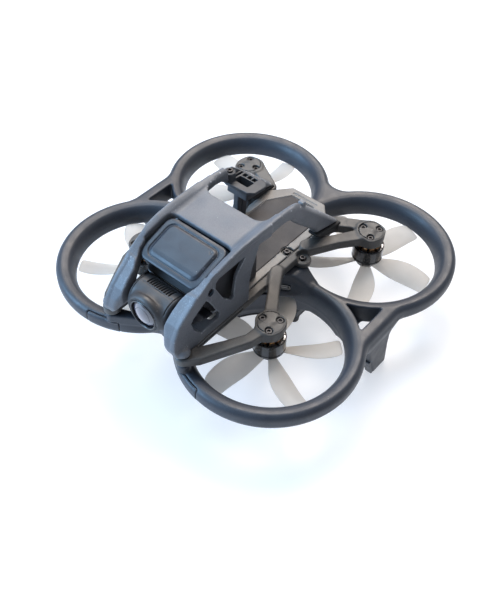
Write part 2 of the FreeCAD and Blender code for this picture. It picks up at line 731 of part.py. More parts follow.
# ---- camera and its tilt mount ----
def camera_housing():
    """Barrel on a crosswise axis with a squared lens hood at the front."""
    wide = CAMERA_HALF_WIDTH
    barrel = rod_x(CAMERA_RADIUS, -wide, wide, CAMERA_Y, CAMERA_Z)
    barrel = soften(barrel, 1.2, lambda edge: edge.BoundBox.XLength < 1e-4)
    hood = block(-HOOD_HALF_WIDTH, HOOD_HALF_WIDTH, HOOD_FRONT_Y, CAMERA_Y, CAMERA_Z - HOOD_HALF_HEIGHT,
                 CAMERA_Z + HOOD_HALF_HEIGHT)
    hood = soften(hood, 5.6, lambda edge: edge.BoundBox.YLength > 5)
    hood = soften(hood, 0.8, lambda edge: abs(edge.BoundBox.YMax - HOOD_FRONT_Y) < 1e-4)
    room = rod_x(CAMERA_RADIUS - 1.3, -wide + 1.2, wide + 1, CAMERA_Y, CAMERA_Z)
    room = room.cut(block(-6.8, 6.8, -90, CAMERA_Y - 5.5, 0, 90))
    body = barrel.fuse(hood).cut([room, rod_y(LENS_TUBE_RADIUS, -90, CAMERA_Y, 0, CAMERA_Z)])
    fins = []
    for i in range(10):
        x = -9.6 + 2.0 * i
        fins.append(plate_x(fin_slot(), x, x + 1.0))
    return body.cut(fins + [pivot_room()])


def fin_slot():
    outer = CAMERA_RADIUS + 1
    inner = CAMERA_RADIUS - 0.8
    points = []
    for radius, degrees in ((inner, 62), (inner, 85), (inner, 108), (outer, 108), (outer, 85), (outer, 62)):
        angle = math.radians(degrees)
        points.append((CAMERA_Y + radius * math.cos(angle), CAMERA_Z + radius * math.sin(angle)))
    return points


def lens_barrel():
    tube = rod_y(LENS_TUBE_RADIUS, -83.6, -75.0, 0, CAMERA_Z)
    return tube.cut(rod_y(4.6, -84, -77.0, 0, CAMERA_Z))


def lens_ring():
    return rod_y(7.8, HOOD_FRONT_Y - 0.7, HOOD_FRONT_Y, 0, CAMERA_Z).cut(rod_y(5.9, -90, -80, 0, CAMERA_Z))


def lens_glass():
    """Domed front element."""
    return Part.makeSphere(14.0, vec(0, -71.0, CAMERA_Z)).common(rod_y(5.8, -90, -83.6, 0, CAMERA_Z))


def image_sensor():
    return block(-5, 5, -75.0, -73.8, CAMERA_Z - 4.5, CAMERA_Z + 4.5)


def pivot_room():
    return rod_x(1.5, -14, -CAMERA_HALF_WIDTH + 2, CAMERA_Y, CAMERA_Z)


def camera_pivot():
    """Right-hand pivot pin, fixed in the camera and running in the bracket."""
    return rod_x(1.5, -BRACKET_OUTER_X, -CAMERA_HALF_WIDTH + 2, CAMERA_Y, CAMERA_Z)


def gimbal_bracket():
    """Fork that holds the camera at both ends, fixed to the head behind it."""
    arm = plate_x([(-76.6, 53), (-76.6, 59), (-60, 62.5), (-54.0, 57), (-55, 47.4), (-62.5, 47.4)],
                  BRACKET_INNER_X, BRACKET_OUTER_X, 1.5)
    hole = rod_x(1.5 + BEARING_CLEARANCE, -15, -12, CAMERA_Y, CAMERA_Z)
    back = block(-BRACKET_OUTER_X, BRACKET_OUTER_X, -62.5, -56.0, 47.4, 49.2)
    boss = rod_x(2.2, BRACKET_INNER_X - 0.2, BRACKET_INNER_X, CAMERA_Y, CAMERA_Z)
    fork = arm.fuse([mirrored(arm).cut(hole), back, boss])
    return fork.cut(head_shell()).removeSplitter()


def gimbal_motor():
    """Tilt motor inside the left end of the barrel, fixed to the bracket."""
    can = rod_x(7.0, 7.0, 11.4, CAMERA_Y, CAMERA_Z)
    return can.fuse(rod_x(2.2, 11.0, BRACKET_INNER_X - 0.2, CAMERA_Y, CAMERA_Z)).removeSplitter()


# ---- motors and propellers ----
def motor_base(x, y):
    """Mounting plate under the arm's disc, with the bearing tube below it."""
    plate = disc(7.0, 40.0, ARM_BOTTOM_Z, x, y)
    tube = ring(3.2, 2.5, 30.2, 40.0, x, y)
    base = plate.fuse(tube).cut(disc(2.5, 0, 60, x, y))
    holes = [disc(1.2, 0, 60, px, py) for px, py in screw_places() if math.hypot(px - x, py - y) < 8]
    return base.cut(holes).removeSplitter()


def motor_stator(x, y):
    """Laminated core with nine teeth."""
    core = ring(4.6, 3.2, 31.5, 37.5, x, y)
    teeth = []
    for i in range(9):
        tooth = block(4.2, 6.8, -0.5, 0.5, 31.5, 37.5).fuse(block(6.2, 6.9, -1.7, 1.7, 31.5, 37.5))
        tooth.rotate(vec(0, 0, 0), vec(0, 0, 1), 40 * i)
        tooth.translate(vec(x, y, 0))
        teeth.append(tooth)
    return core.fuse(teeth).common(disc(6.9, 0, 60, x, y)).removeSplitter()


def motor_windings(x, y):
    """Copper coil round each tooth."""
    coils = []
    for i in range(9):
        coil = block(4.7, 6.15, -1.35, 1.35, 30.6, 39.4).cut(block(4.0, 7.6, -0.52, 0.52, 31.45, 37.55))
        coil.rotate(vec(0, 0, 0), vec(0, 0, 1), 40 * i)
        coil.translate(vec(x, y, 0))
        coils.append(coil)
    return coils


def motor_bearings(x, y):
    inner = SHAFT_RADIUS + BEARING_CLEARANCE
    return [ring(2.5, inner, z, z + 2.0, x, y) for z in (30.6, 37.6)]


def motor_bell(x, y):
    """Rotating can, closed at the bottom."""
    can = ring(BELL_RADIUS, BELL_RADIUS - 0.7, BELL_BOTTOM_Z, BELL_TOP_Z, x, y)
    end = disc(BELL_RADIUS - 0.3, BELL_BOTTOM_Z, BELL_BOTTOM_Z + 1.6, x, y)
    bell = can.fuse(end)
    vents = []
    for i in range(6):
        vent = block(3.6, 6.6, -1.2, 1.2, 20, BELL_BOTTOM_Z + 1.7)
        vent.rotate(vec(0, 0, 0), vec(0, 0, 1), 60 * i)
        vent.translate(vec(x, y, 0))
        vents.append(vent)
    bell = bell.cut(vents + [disc(SHAFT_RADIUS, 0, 60, x, y)])
    return soften(bell.removeSplitter(), 0.5, lambda edge: bell_rim(edge, x, y))


def bell_rim(edge, x, y):
    box = edge.BoundBox
    wide = abs(box.XLength - 2 * BELL_RADIUS) < 0.01
    return wide and (lies_at(edge, BELL_BOTTOM_Z) or lies_at(edge, BELL_TOP_Z))


def motor_magnets(x, y):
    magnets = []
    for i in range(12):
        piece = block(6.5, 8.2, -1.5, 1.5, 30.5, 37.0).common(ring(BELL_RADIUS - 0.72, 7.1, 30.5, 37.0))
        piece.rotate(vec(0, 0, 0), vec(0, 0, 1), 30 * i)
        piece.translate(vec(x, y, 0))
        magnets.append(piece)
    return Part.makeCompound(magnets)


def motor_shaft(x, y):
    return disc(SHAFT_RADIUS, 23.6, 40.4, x, y)


def blade_chord(radius):
    """Width of the blade: narrow root, broad middle, rounded tip."""
    t = (radius - BLADE_ROOT_RADIUS) / (PROPELLER_RADIUS - BLADE_ROOT_RADIUS)
    paddle = 5.6 + 9.2 * math.sin(math.pi * min(1.0, t * 0.94) ** 0.8)
    return paddle + 1.6 * t


def blade_section(radius):
    """Closed curved section, square to the blade."""
    t = (radius - BLADE_ROOT_RADIUS) / (PROPELLER_RADIUS - BLADE_ROOT_RADIUS)
    chord = blade_chord(radius)
    pitch = math.radians(33.0 - 22.0 * t)
    half = 0.85 - 0.5 * t
    sweep = 4.0 * math.sin(math.pi * t) - 3.0 * t
    outline = []
    for along, up in ((-0.5, 0.1), (-0.3, 0.9), (0, 1.3), (0.3, 1.0), (0.5, 0.1), (0.3, -0.3), (0, 0), (-0.3, -0.4)):
        across = along * chord
        rise = up * half
        outline.append(vec(
            radius,
            across * math.cos(pitch) - rise * math.sin(pitch),
            across * math.sin(pitch) + rise * math.cos(pitch),
        ))
    wire = Part.makePolygon(outline + [outline[0]])
    wire.rotate(vec(0, 0, 0), vec(0, 0, 1), sweep)
    return wire


def propeller(x, y, hand):
    """Five-blade propeller; hand is +1 or -1 for the two directions of turn."""
    radii = [BLADE_ROOT_RADIUS, 8.0, 12.0, 16.0, 20.0, 24.0, 28.0, 32.0, 34.8, PROPELLER_RADIUS]
    blade = Part.makeLoft([blade_section(radius) for radius in radii], True, True)
    blades = []
    for i in range(BLADE_COUNT):
        turned = blade.copy()
        turned.rotate(vec(0, 0, 0), vec(0, 0, 1), 360 / BLADE_COUNT * i)
        blades.append(turned)
    hub = disc(6.0, -2.6, HUB_TOP)
    shape = hub.fuse(blades).cut(disc(BELL_RADIUS + 0.5, HUB_TOP, 6))
    if hand < 0:
        shape = shape.mirror(vec(0, 0, 0), vec(0, 1, 0))
    shape.rotate(vec(0, 0, 0), vec(0, 0, 1), REST_ANGLE[(x > 0, y > 0)])
    shape.translate(vec(x, y, PROPELLER_Z))
    return shape.cut(disc(SHAFT_RADIUS, 0, 60, x, y))


# ---- trim ----
def tip_dampers():
    """Rubber washer between each arm tip and the guard's rim."""
    return both_sides(ring(2.8, 1.2, RIM_TOP_Z + 0.05, ARM_BOTTOM_Z - 0.05, TIP_X, TIP_Y))


def rear_foot_pads():
    """Dark pad between each rear foot of the frame and the arm."""
    pad = plate_z([(21.4, 19), (24.9, 19), (24.9, 37.0), (21.4, 37.0)], 45.7, 46.2, 1.0)
    return both_sides(pad.cut([arm_left(), rail_left()]))


# ---- build every node ----
def main():
    os.makedirs(OUT, exist_ok=True)
    guard = guard_left()
    arm = arm_left()
    write("upper_frame", upper_frame())
    write("head_shell", head_shell())
    write("top_cover", top_cover())
    write("bay_floor", bay_floor())
    write("floor_label", floor_label())
    write("lower_shell", lower_shell())
    write("belly_cover", belly_cover())
    write("belly_feet", belly_feet())
    write("arm_left", arm)
    write("arm_right", mirrored(arm))
    write("guard_left", guard)
    write("guard_right", mirrored(guard))
    write("leg_pads", both_sides(leg_pad()))
    write("antenna_caps", both_sides(antenna_cap()))
    write("tip_dampers", tip_dampers())
    write("rear_foot_pads", rear_foot_pads())
    write("power_socket", power_socket())
    write("socket_contacts", socket_contacts())
    write("socket_stand", socket_stand())
    write("main_board", main_board())
    write("esc_board", esc_board())
    write("heat_sink", heat_sink())
    write("fan_housing", fan_housing())
    write("fan_rotor", fan_rotor())
    write("usb_port", usb_port())
    write("card_slot", card_slot())
    write("receiver_module", receiver_module())
    write("down_sensors", down_sensors())
    write("link_button", link_button())
    write("gimbal_bracket", gimbal_bracket())
    write("gimbal_motor", gimbal_motor())
    write("camera_housing", camera_housing())
    write("camera_pivot", camera_pivot())
    write("lens_barrel", lens_barrel())
    write("lens_ring", lens_ring())
    write("lens_glass", lens_glass())
    write("image_sensor", image_sensor())
    write("motor_screws", motor_screws())
    write("guard_screws", guard_screws())
    write("deck_screws", deck_screws())
    bases = []
    stators = []
    windings = []
    bearings = []
    for name, x, y in motor_axes():
        hand = -1 if x * y < 0 else 1
        bases.append(motor_base(x, y))
        stators.append(motor_stator(x, y))
        windings.extend(motor_windings(x, y))
        bearings.extend(motor_bearings(x, y))
        write("bell_" + name, motor_bell(x, y))
        write("magnets_" + name, motor_magnets(x, y))
        write("shaft_" + name, motor_shaft(x, y))
        write("propeller_" + name, propeller(x, y, hand))
    write("motor_bases", Part.makeCompound(bases))
    write("motor_stators", Part.makeCompound(stators))
    write("motor_windings", Part.makeCompound(windings))
    write("motor_bearings", Part.makeCompound(bearings))


main()
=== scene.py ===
import copy
import math
import random

import bpy
import bmesh
import numpy as np
from mathutils import Matrix, Vector


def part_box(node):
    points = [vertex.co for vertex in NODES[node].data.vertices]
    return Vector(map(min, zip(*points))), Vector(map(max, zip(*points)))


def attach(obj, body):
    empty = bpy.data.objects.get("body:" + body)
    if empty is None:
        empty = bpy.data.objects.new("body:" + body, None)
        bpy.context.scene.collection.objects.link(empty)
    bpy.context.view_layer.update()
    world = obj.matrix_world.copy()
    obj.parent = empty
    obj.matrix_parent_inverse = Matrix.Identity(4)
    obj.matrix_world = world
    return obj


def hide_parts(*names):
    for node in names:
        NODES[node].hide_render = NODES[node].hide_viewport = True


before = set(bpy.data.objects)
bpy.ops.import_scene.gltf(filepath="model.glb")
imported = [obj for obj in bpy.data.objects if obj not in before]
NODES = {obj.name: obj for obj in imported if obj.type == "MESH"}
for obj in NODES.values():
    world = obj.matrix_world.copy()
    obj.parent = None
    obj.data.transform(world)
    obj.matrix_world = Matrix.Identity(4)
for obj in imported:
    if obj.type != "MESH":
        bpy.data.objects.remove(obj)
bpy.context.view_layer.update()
MM = 0.001
COARSE = 1.0
random.seed(7)

ROTORS = ("front_left", "front_right", "rear_left", "rear_right")


def centre_of(node):
    """Middle of a CAD node's box, in millimetres."""
    low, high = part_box(node)
    return (low + high) / 2 / MM


def extent_of(node):
    """Low and high corners of a CAD node's box, in millimetres."""
    low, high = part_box(node)
    return low / MM, high / MM


# Sizes below are in millimetres in the CAD frame: +Z up, the camera faces -Y.
ROTOR_AXIS = {name: centre_of("shaft_" + name) for name in ROTORS}
MOTOR_X = ROTOR_AXIS["front_left"].x
MOTOR_Y = ROTOR_AXIS["rear_left"].y
RING_RADIUS = extent_of("guard_left")[1].y - MOTOR_Y
RIDGE_Z = 36.0
FOOT_Z = 24.3
THROAT = 37.5
TILT = Vector((0.0, -73.5, 56.0))
SCREW_CIRCLE = 5.0
RAIL_TOP = 45.6
TIP = (24.0, -83.4)


# ---- solid fields: signed distances on a grid, turned into one closed mesh ----
class Field:
    """A box of sample points, in millimetres, over which shapes are combined."""

    def __init__(self, low, high, step):
        step *= COARSE
        self.step = step
        self.low = np.array(low, float)
        counts = np.ceil((np.array(high, float) - self.low) / step).astype(int) + 1
        axes = [self.low[i] + step * np.arange(counts[i]) for i in range(3)]
        self.x = axes[0].astype(np.float32)[:, None, None]
        self.y = axes[1].astype(np.float32)[None, :, None]
        self.z = axes[2].astype(np.float32)[None, None, :]
        self.shape = tuple(counts)

    def folded(self):
        """The same grid with its negative x side laid over the positive one."""
        twin = copy.copy(self)
        twin.x = np.abs(self.x)
        return twin


def polygon(u, v, points):
    """Signed distance to a closed outline, negative inside."""
    best = None
    inside = None
    count = len(points)
    for i in range(count):
        ax, ay = points[i]
        bx, by = points[(i + 1) % count]
        ex, ey = bx - ax, by - ay
        wx, wy = u - ax, v - ay
        along = np.clip((wx * ex + wy * ey) / (ex * ex + ey * ey), 0, 1)
        dist = (wx - along * ex) ** 2 + (wy - along * ey) ** 2
        crossing = (ay <= v) != (by <= v)
        if abs(ey) > 1e-9:
            crossing = crossing & (u < ax + (v - ay) * ex / ey)
        else:
            crossing = crossing & False
        best = dist if best is None else np.minimum(best, dist)
        inside = crossing if inside is None else inside ^ crossing
    dist = np.sqrt(best)
    return np.where(inside, -dist, dist).astype(np.float32)


def slab(w, low, high):
    """Distance outside the stretch from low to high."""
    return np.abs(w - (low + high) / 2) - (high - low) / 2


def circle(u, v, cu, cv, radius):
    """Distance outside a circle about (cu, cv)."""
    return np.sqrt((u - cu) ** 2 + (v - cv) ** 2) - radius


def both(a, b, r=0.0):
    """Where both shapes are, with outside edges rounded to r."""
    if r <= 0:
        return np.maximum(a, b)
    return np.minimum(np.maximum(a, b), -r) + np.sqrt(np.maximum(a + r, 0) ** 2 + np.maximum(b + r, 0) ** 2)


def join(a, b, r=0.0):
    """Where either shape is, with inside corners filled to r."""
    if r <= 0:
        return np.minimum(a, b)
    return np.maximum(np.minimum(a, b), r) - np.sqrt(np.maximum(r - a, 0) ** 2 + np.maximum(r - b, 0) ** 2)


def without(a, b, r=0.0):
    """The first shape less the second, with the edges of the cut rounded to r."""
    return both(a, -b, r)


def rounded_box(f, x, y, z, r):
    """Box between the three (low, high) pairs with every edge rounded to r."""
    return both(both(slab(f.x, *x), slab(f.y, *y), r), slab(f.z, *z), r)


def bar(f, path, r):
    """Bar along points of (x, y, mid z, half width, half height), tapering between them."""
    shape = None
    for a, b in zip(path[:-1], path[1:]):
        ex, ey = b[0] - a[0], b[1] - a[1]
        along = np.clip(((f.x - a[0]) * ex + (f.y - a[1]) * ey) / (ex * ex + ey * ey), 0, 1)
        away = np.sqrt((f.x - a[0] - along * ex) ** 2 + (f.y - a[1] - along * ey) ** 2)
        side = away - (a[3] + (b[3] - a[3]) * along)
        level = np.abs(f.z - (a[2] + (b[2] - a[2]) * along)) - (a[4] + (b[4] - a[4]) * along)
        piece = both(side, level, r)
        shape = piece if shape is None else np.minimum(shape, piece)
    return shape


def corner_slices(corner):
    """Index of one of the eight corners of every cell."""
    return tuple(slice(1, None) if c else slice(0, -1) for c in corner)


def skin(f, values, name, relax=2):
    """Closed quad mesh on the zero surface, one point in each cell that it crosses."""
    values = np.broadcast_to(values, f.shape).astype(np.float32)
    negative = values < 0
    corners = [(i, j, k) for i in (0, 1) for j in (0, 1) for k in (0, 1)]
    some = np.zeros(tuple(n - 1 for n in f.shape), bool)
    every = np.ones_like(some)
    for corner in corners:
        part = negative[corner_slices(corner)]
        some |= part
        every &= part
    cells = np.argwhere(some & ~every)
    index = np.full(some.shape, -1, np.int32)
    index[tuple(cells.T)] = np.arange(len(cells))
    total = np.zeros((len(cells), 3))
    hits = np.zeros(len(cells))
    at = {c: values[cells[:, 0] + c[0], cells[:, 1] + c[1], cells[:, 2] + c[2]] for c in corners}
    for first in corners:
        for axis in range(3):
            if first[axis]:
                continue
            second = tuple(1 if n == axis else first[n] for n in range(3))
            va, vb = at[first], at[second]
            cut = (va < 0) != (vb < 0)
            share = np.where(cut, va / np.where(cut, va - vb, 1), 0)
            point = np.tile(np.array(first, float), (len(cells), 1))
            point[:, axis] += share
            total[cut] += point[cut]
            hits[cut] += 1
    points = cells + total / hits[:, None]
    quads = []
    for axis in range(3):
        one, two = [n for n in range(3) if n != axis]
        low = [slice(None)] * 3
        high = [slice(None)] * 3
        low[axis] = slice(0, -1)
        high[axis] = slice(1, None)
        na, nb = negative[tuple(low)], negative[tuple(high)]
        for flip, change in ((False, na & ~nb), (True, ~na & nb)):
            edges = np.argwhere(change)
            keep = (edges[:, one] > 0) & (edges[:, two] > 0)
            keep &= (edges[:, one] < some.shape[one]) & (edges[:, two] < some.shape[two])
            edges = edges[keep]
            ring = []
            for du, dv in ((1, 1), (0, 1), (0, 0), (1, 0)):
                cell = edges.copy()
                cell[:, one] -= du
                cell[:, two] -= dv
                ring.append(index[tuple(cell.T)])
            if flip == (axis != 1):
                ring.reverse()
            quads.append(np.stack(ring, 1))
    quads = np.concatenate(quads)
    for _ in range(relax):
        points = settle(values, relaxed(points, quads))
    return build_mesh(name, (f.low + points * f.step) * MM, quads)


def relaxed(points, quads):
    """Each point moved to the middle of its neighbours."""
    total = np.zeros_like(points)
    hits = np.zeros(len(points))
    for a, b in ((0, 1), (1, 2), (2, 3), (3, 0)):
        for p, q in ((a, b), (b, a)):
            for n in range(3):
                total[:, n] += np.bincount(quads[:, p], points[quads[:, q], n], len(points))
            hits += np.bincount(quads[:, p], minlength=len(points))
    return points * 0.4 + 0.6 * total / np.maximum(hits, 1)[:, None]


def sampled(values, points):
    """The field's value at points between its samples."""
    top = np.array(values.shape) - 1.001
    points = np.clip(points, 0, top)
    base = points.astype(int)
    part = points - base
    result = 0
    for i in (0, 1):
        for j in (0, 1):
            for k in (0, 1):
                weight = (part[:, 0] if i else 1 - part[:, 0]) * (part[:, 1] if j else 1 - part[:, 1])
                weight = weight * (part[:, 2] if k else 1 - part[:, 2])
                result = result + weight * values[base[:, 0] + i, base[:, 1] + j, base[:, 2] + k]
    return result


def settle(values, points):
    """Moves points along the slope of the field, back to its zero surface."""
    slope = np.stack([
        sampled(values, points + np.eye(3)[n] * 0.5) - sampled(values, points - np.eye(3)[n] * 0.5)
        for n in range(3)
    ], 1)
    size = np.maximum((slope ** 2).sum(1), 1e-6)
    step = sampled(values, points) / size
    move = slope * step[:, None]
    length = np.sqrt((move ** 2).sum(1))
    move *= np.minimum(1, 0.6 / np.maximum(length, 1e-6))[:, None]
    return points - move


def build_mesh(name, points, faces):
    """Smooth mesh from points in metres and faces that all have the same number of corners."""
    mesh = bpy.data.meshes.new(name)
    mesh.vertices.add(len(points))
    mesh.vertices.foreach_set("co", np.asarray(points, np.float32).ravel())
    width = faces.shape[1]
    mesh.loops.add(len(faces) * width)
    mesh.loops.foreach_set("vertex_index", faces.astype(np.int32).ravel())
    mesh.polygons.add(len(faces))
    mesh.polygons.foreach_set("loop_start", np.arange(0, len(faces) * width, width, dtype=np.int32))
    mesh.polygons.foreach_set("loop_total", np.full(len(faces), width, np.int32))
    mesh.update(calc_edges=True)
    mesh.validate()
    mesh.shade_smooth()
    return mesh


def object_from(mesh, name):
    piece = bpy.data.objects.new(name, mesh)
    bpy.context.scene.collection.objects.link(piece)
    return piece


def add_piece(name, mesh, material, body="frame", slot=None, stands_for=()):
    """Puts a finished mesh into the scene, riding on its body."""
    piece = object_from(mesh, name)
    mesh.materials.clear()
    mesh.materials.append(material)
    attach(piece, body)
    if stands_for:
        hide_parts(*stands_for)
    return piece


def add_skin(name, f, values, material, **place):
    """Adds the closed surface of a field as a piece."""
    return add_piece(name, skin(f, values, name), material, **place)


def add_set(name, meshes, material, **place):
    """Adds several closed meshes as one piece."""
    return add_piece(name, merged(name, meshes), material, **place)


def add_turned(name, outline, centre, material, axis="z", steps=96, **place):
    """Adds a surface of revolution as a piece."""
    return add_piece(name, lathe(name, outline, centre, axis, steps), material, **place)


def lathe(name, outline, centre, axis="z", steps=96):
    """Surface of revolution through (radius, height) points, closed where the radius is 0."""
    count = len(outline)
    turn = np.linspace(0, 2 * math.pi, steps, endpoint=False)
    points = np.zeros((count * steps, 3))
    for i, (radius, height) in enumerate(outline):
        rows = slice(i * steps, (i + 1) * steps)
        a, b = radius * np.cos(turn), radius * np.sin(turn)
        if axis == "z":
            points[rows] = np.stack([a, b, np.full(steps, height)], 1)
        elif axis == "y":
            points[rows] = np.stack([b, np.full(steps, height), a], 1)
        else:
            points[rows] = np.stack([np.full(steps, height), a, b], 1)
    points += np.array(centre)
    faces = []
    for i in range(count - 1):
        here = i * steps + np.arange(steps)
        there = i * steps + (np.arange(steps) + 1) % steps
        faces.append(np.stack([here, there, there + steps, here + steps], 1))
    mesh = build_mesh(name, points * MM, np.concatenate(faces))
    weld(mesh, 1e-7)
    return mesh


def weld(mesh, reach):
    """Joins points that lie within reach metres of each other and turns every face outwards."""
    work = bmesh.new()
    work.from_mesh(mesh)
    bmesh.ops.remove_doubles(work, verts=work.verts, dist=reach)
    bmesh.ops.recalc_face_normals(work, faces=work.faces)
    work.to_mesh(mesh)
    work.free()
    mesh.shade_smooth()


def eased(outline, radius, steps=4):
    """The same (radius, height) outline with its corners rounded."""
    result = [outline[0]]
    for before, corner, after in zip(outline[:-2], outline[1:-1], outline[2:]):
        b = Vector(before) - Vector(corner)
        a = Vector(after) - Vector(corner)
        reach = min(radius, b.length * 0.45, a.length * 0.45)
        if b.length < 1e-6 or a.length < 1e-6:
            continue
        start = Vector(corner) + b.normalized() * reach
        end = Vector(corner) + a.normalized() * reach
        for i in range(steps + 1):
            t = i / steps
            point = start * (1 - t) ** 2 + Vector(corner) * 2 * t * (1 - t) + end * t ** 2
            result.append((point.x, point.y))
    result.append(outline[-1])
    return result


def merged(name, meshes):
    """One mesh holding several closed ones."""
    work = bmesh.new()
    for mesh in meshes:
        work.from_mesh(mesh)
    mesh = bpy.data.meshes.new(name)
    work.to_mesh(mesh)
    work.free()
    mesh.shade_smooth()
    for old in meshes:
        bpy.data.meshes.remove(old)
    return mesh


def moved(mesh, matrix):
    """A copy of the mesh, moved or mirrored."""
    twin = mesh.copy()
    twin.transform(matrix)
    if matrix.to_3x3().determinant() < 0:
        twin.flip_normals()
    return twin


# ---- materials ----
class Nodes:
    """Short way to build a node material on object coordinates, in millimetres."""

    def __init__(self, name):
        self.material = bpy.data.materials.new(name)
        self.material.use_nodes = True
        self.tree = self.material.node_tree
        self.shader = self.tree.nodes["Principled BSDF"]
        place = self.add("ShaderNodeTexCoord")
        self.place = place.outputs["Object"]

    def add(self, kind, **settings):
        node = self.tree.nodes.new(kind)
        for key, value in settings.items():
            setattr(node, key, value)
        return node

    def feed(self, node, socket, value):
        if hasattr(value, "is_output"):
            self.tree.links.new(value, node.inputs[socket])
        else:
            node.inputs[socket].default_value = value

    def noise(self, size, detail=3.0, rough=0.6, stretch=(1, 1, 1)):
        """Noise whose features are about size millimetres across."""
        mapping = self.add("ShaderNodeMapping")
        self.feed(mapping, "Vector", self.place)
        mapping.inputs["Scale"].default_value = [s * 1000 / size for s in stretch]
        noise = self.add("ShaderNodeTexNoise")
        self.feed(noise, "Vector", mapping.outputs[0])
        noise.inputs["Scale"].default_value = 1.0
        noise.inputs["Detail"].default_value = detail
        noise.inputs["Roughness"].default_value = rough
        return noise.outputs["Fac"]

    def cells(self, size):
        """Distance to the nearest of scattered points, about size millimetres apart."""
        mapping = self.add("ShaderNodeMapping")
        self.feed(mapping, "Vector", self.place)
        mapping.inputs["Scale"].default_value = [1000 / size] * 3
        cells = self.add("ShaderNodeTexVoronoi")
        self.feed(cells, "Vector", mapping.outputs[0])
        cells.inputs["Scale"].default_value = 1.0
        return cells.outputs["Distance"]

    def span(self, value, low, high, to_low=0.0, to_high=1.0):
        """The value's place between low and high, carried over to the other two."""
        node = self.add("ShaderNodeMapRange")
        self.feed(node, "Value", value)
        limits = {"From Min": low, "From Max": high, "To Min": to_low, "To Max": to_high}
        for socket, number in limits.items():
            node.inputs[socket].default_value = number
        return node.outputs["Result"]

    def maths(self, kind, a, b):
        node = self.add("ShaderNodeMath", operation=kind)
        self.feed(node, 0, a)
        self.feed(node, 1, b)
        return node.outputs[0]

    def blend(self, share, first, second):
        node = self.add("ShaderNodeMix", data_type="RGBA")
        self.feed(node, "Factor", share)
        for socket, value in ((6, first), (7, second)):
            if isinstance(value, tuple):
                value = (*value, 1.0) if len(value) == 3 else value
            self.feed(node, socket, value)
        return node.outputs[2]

    def edges(self, low, high):
        """1 on worn outside edges, 0 elsewhere."""
        geometry = self.add("ShaderNodeNewGeometry")
        return self.span(geometry.outputs["Pointiness"], low, high)

    def ridges(self):
        """1 on rounded edges between a top and a side face, 0 elsewhere."""
        geometry = self.add("ShaderNodeNewGeometry")
        split = self.add("ShaderNodeSeparateXYZ")
        self.feed(split, "Vector", geometry.outputs["Normal"])
        level = self.maths("POWER", split.outputs["Z"], 2.0)
        upper = self.span(split.outputs["Z"], 0.30, 0.45)
        return self.maths("MULTIPLY", self.span(level, 0.86, 0.66), upper)

    def raise_by(self, height, distance):
        """Bump whose height is distance millimetres."""
        bump = self.add("ShaderNodeBump")
        bump.inputs["Distance"].default_value = distance * MM
        bump.inputs["Strength"].default_value = 1.0
        self.feed(bump, "Height", height)
        self.feed(self.shader, "Normal", bump.outputs[0])


DUST_COLOUR = (0.62, 0.58, 0.52)


def moulded(name, dark, light, rough, grain=0.35, bump=0.02, wear=None, wear_share=0.5, dust=0.15, patch=22.0,
            edge=(0.53, 0.60), coat=0.0, scratch=0.0, rub_and_highlight=0.0, gloss=0.5):
    """Moulded plastic: fine spark-eroded grain, cloudy colour, rubbed edges, scratches, a little dust, and
    lighter flakes on upper ridges that are partly wear and partly a painted highlight.
    """
    n = Nodes(name)
    cloud = n.span(n.noise(patch, 4, 0.65), 0.3, 0.7)
    fine = n.noise(grain, 2, 0.7)
    colour = n.blend(cloud, dark, light)
    tint = n.span(fine, 0.35, 0.65, 0.0, 1.0)
    speck = tuple(min(1.0, c * 1.35 + 0.006) for c in light)
    colour = n.blend(n.maths("MULTIPLY", tint, 0.35), colour, speck)
    roughness = n.span(n.noise(patch * 0.35, 5, 0.6), 0.3, 0.7, rough - 0.07, rough + 0.09)
    if wear:
        rubbed = n.edges(*edge)
        broken = n.span(n.noise(2.6, 6, 0.75), 0.42, 0.6)
        share = n.maths("MULTIPLY", n.maths("MULTIPLY", rubbed, broken), wear_share)
        colour = n.blend(share, colour, wear)
    if scratch:
        lines = n.noise(0.9, 4, 0.8, (1.0, 0.07, 0.5))
        marks = n.span(lines, 0.66, 0.72, 0.0, scratch)
        where = n.span(n.noise(14.0, 2, 0.5), 0.5, 0.62)
        marks = n.maths("MULTIPLY", marks, where)
        colour = n.blend(marks, colour, tuple(min(1.0, c * 2.2 + 0.05) for c in light))
    # Lighter flakes on the upper ridges between top and side faces: partly wear, partly a painted highlight.
    if rub_and_highlight:
        flakes = n.span(n.noise(0.8, 5, 0.85, (1.0, 0.5, 1.0)), 0.56, 0.66)
        place = n.span(n.noise(11.0, 3, 0.6), 0.44, 0.60)
        share = n.maths("MULTIPLY", n.maths("MULTIPLY", flakes, place), n.ridges())
        colour = n.blend(n.maths("MULTIPLY", share, rub_and_highlight), colour, wear)
    if dust:
        spots = n.span(n.cells(3.1), 0.10, 0.04)
        some = n.span(n.noise(9.0, 3, 0.6), 0.5, 0.66)
        share = n.maths("MULTIPLY", n.maths("MULTIPLY", spots, some), dust)
        colour = n.blend(share, colour, DUST_COLOUR)
    n.feed(n.shader, "Base Color", colour)
    n.feed(n.shader, "Roughness", roughness)
    n.shader.inputs["Specular IOR Level"].default_value = gloss
    n.shader.inputs["Coat Weight"].default_value = coat
    n.shader.inputs["Coat Roughness"].default_value = 0.25
    n.raise_by(fine, bump)
    return n.material


def metal(name, dark, light, rough, streak=(1, 1, 1), grain=0.4, bump=0.004, metallic=1.0, coat=0.0):
    """Machined or plated metal with fine tool streaks and smudges."""
    n = Nodes(name)
    lines = n.noise(grain, 3, 0.6, streak)
    smudge = n.noise(5.0, 3, 0.6)
    n.feed(n.shader, "Base Color", n.blend(n.span(lines, 0.3, 0.7), dark, light))
    n.feed(n.shader, "Roughness", n.span(smudge, 0.3, 0.7, rough - 0.06, rough + 0.08))
    n.shader.inputs["Metallic"].default_value = metallic
    n.shader.inputs["Coat Weight"].default_value = coat
    n.raise_by(lines, bump)
    return n.material


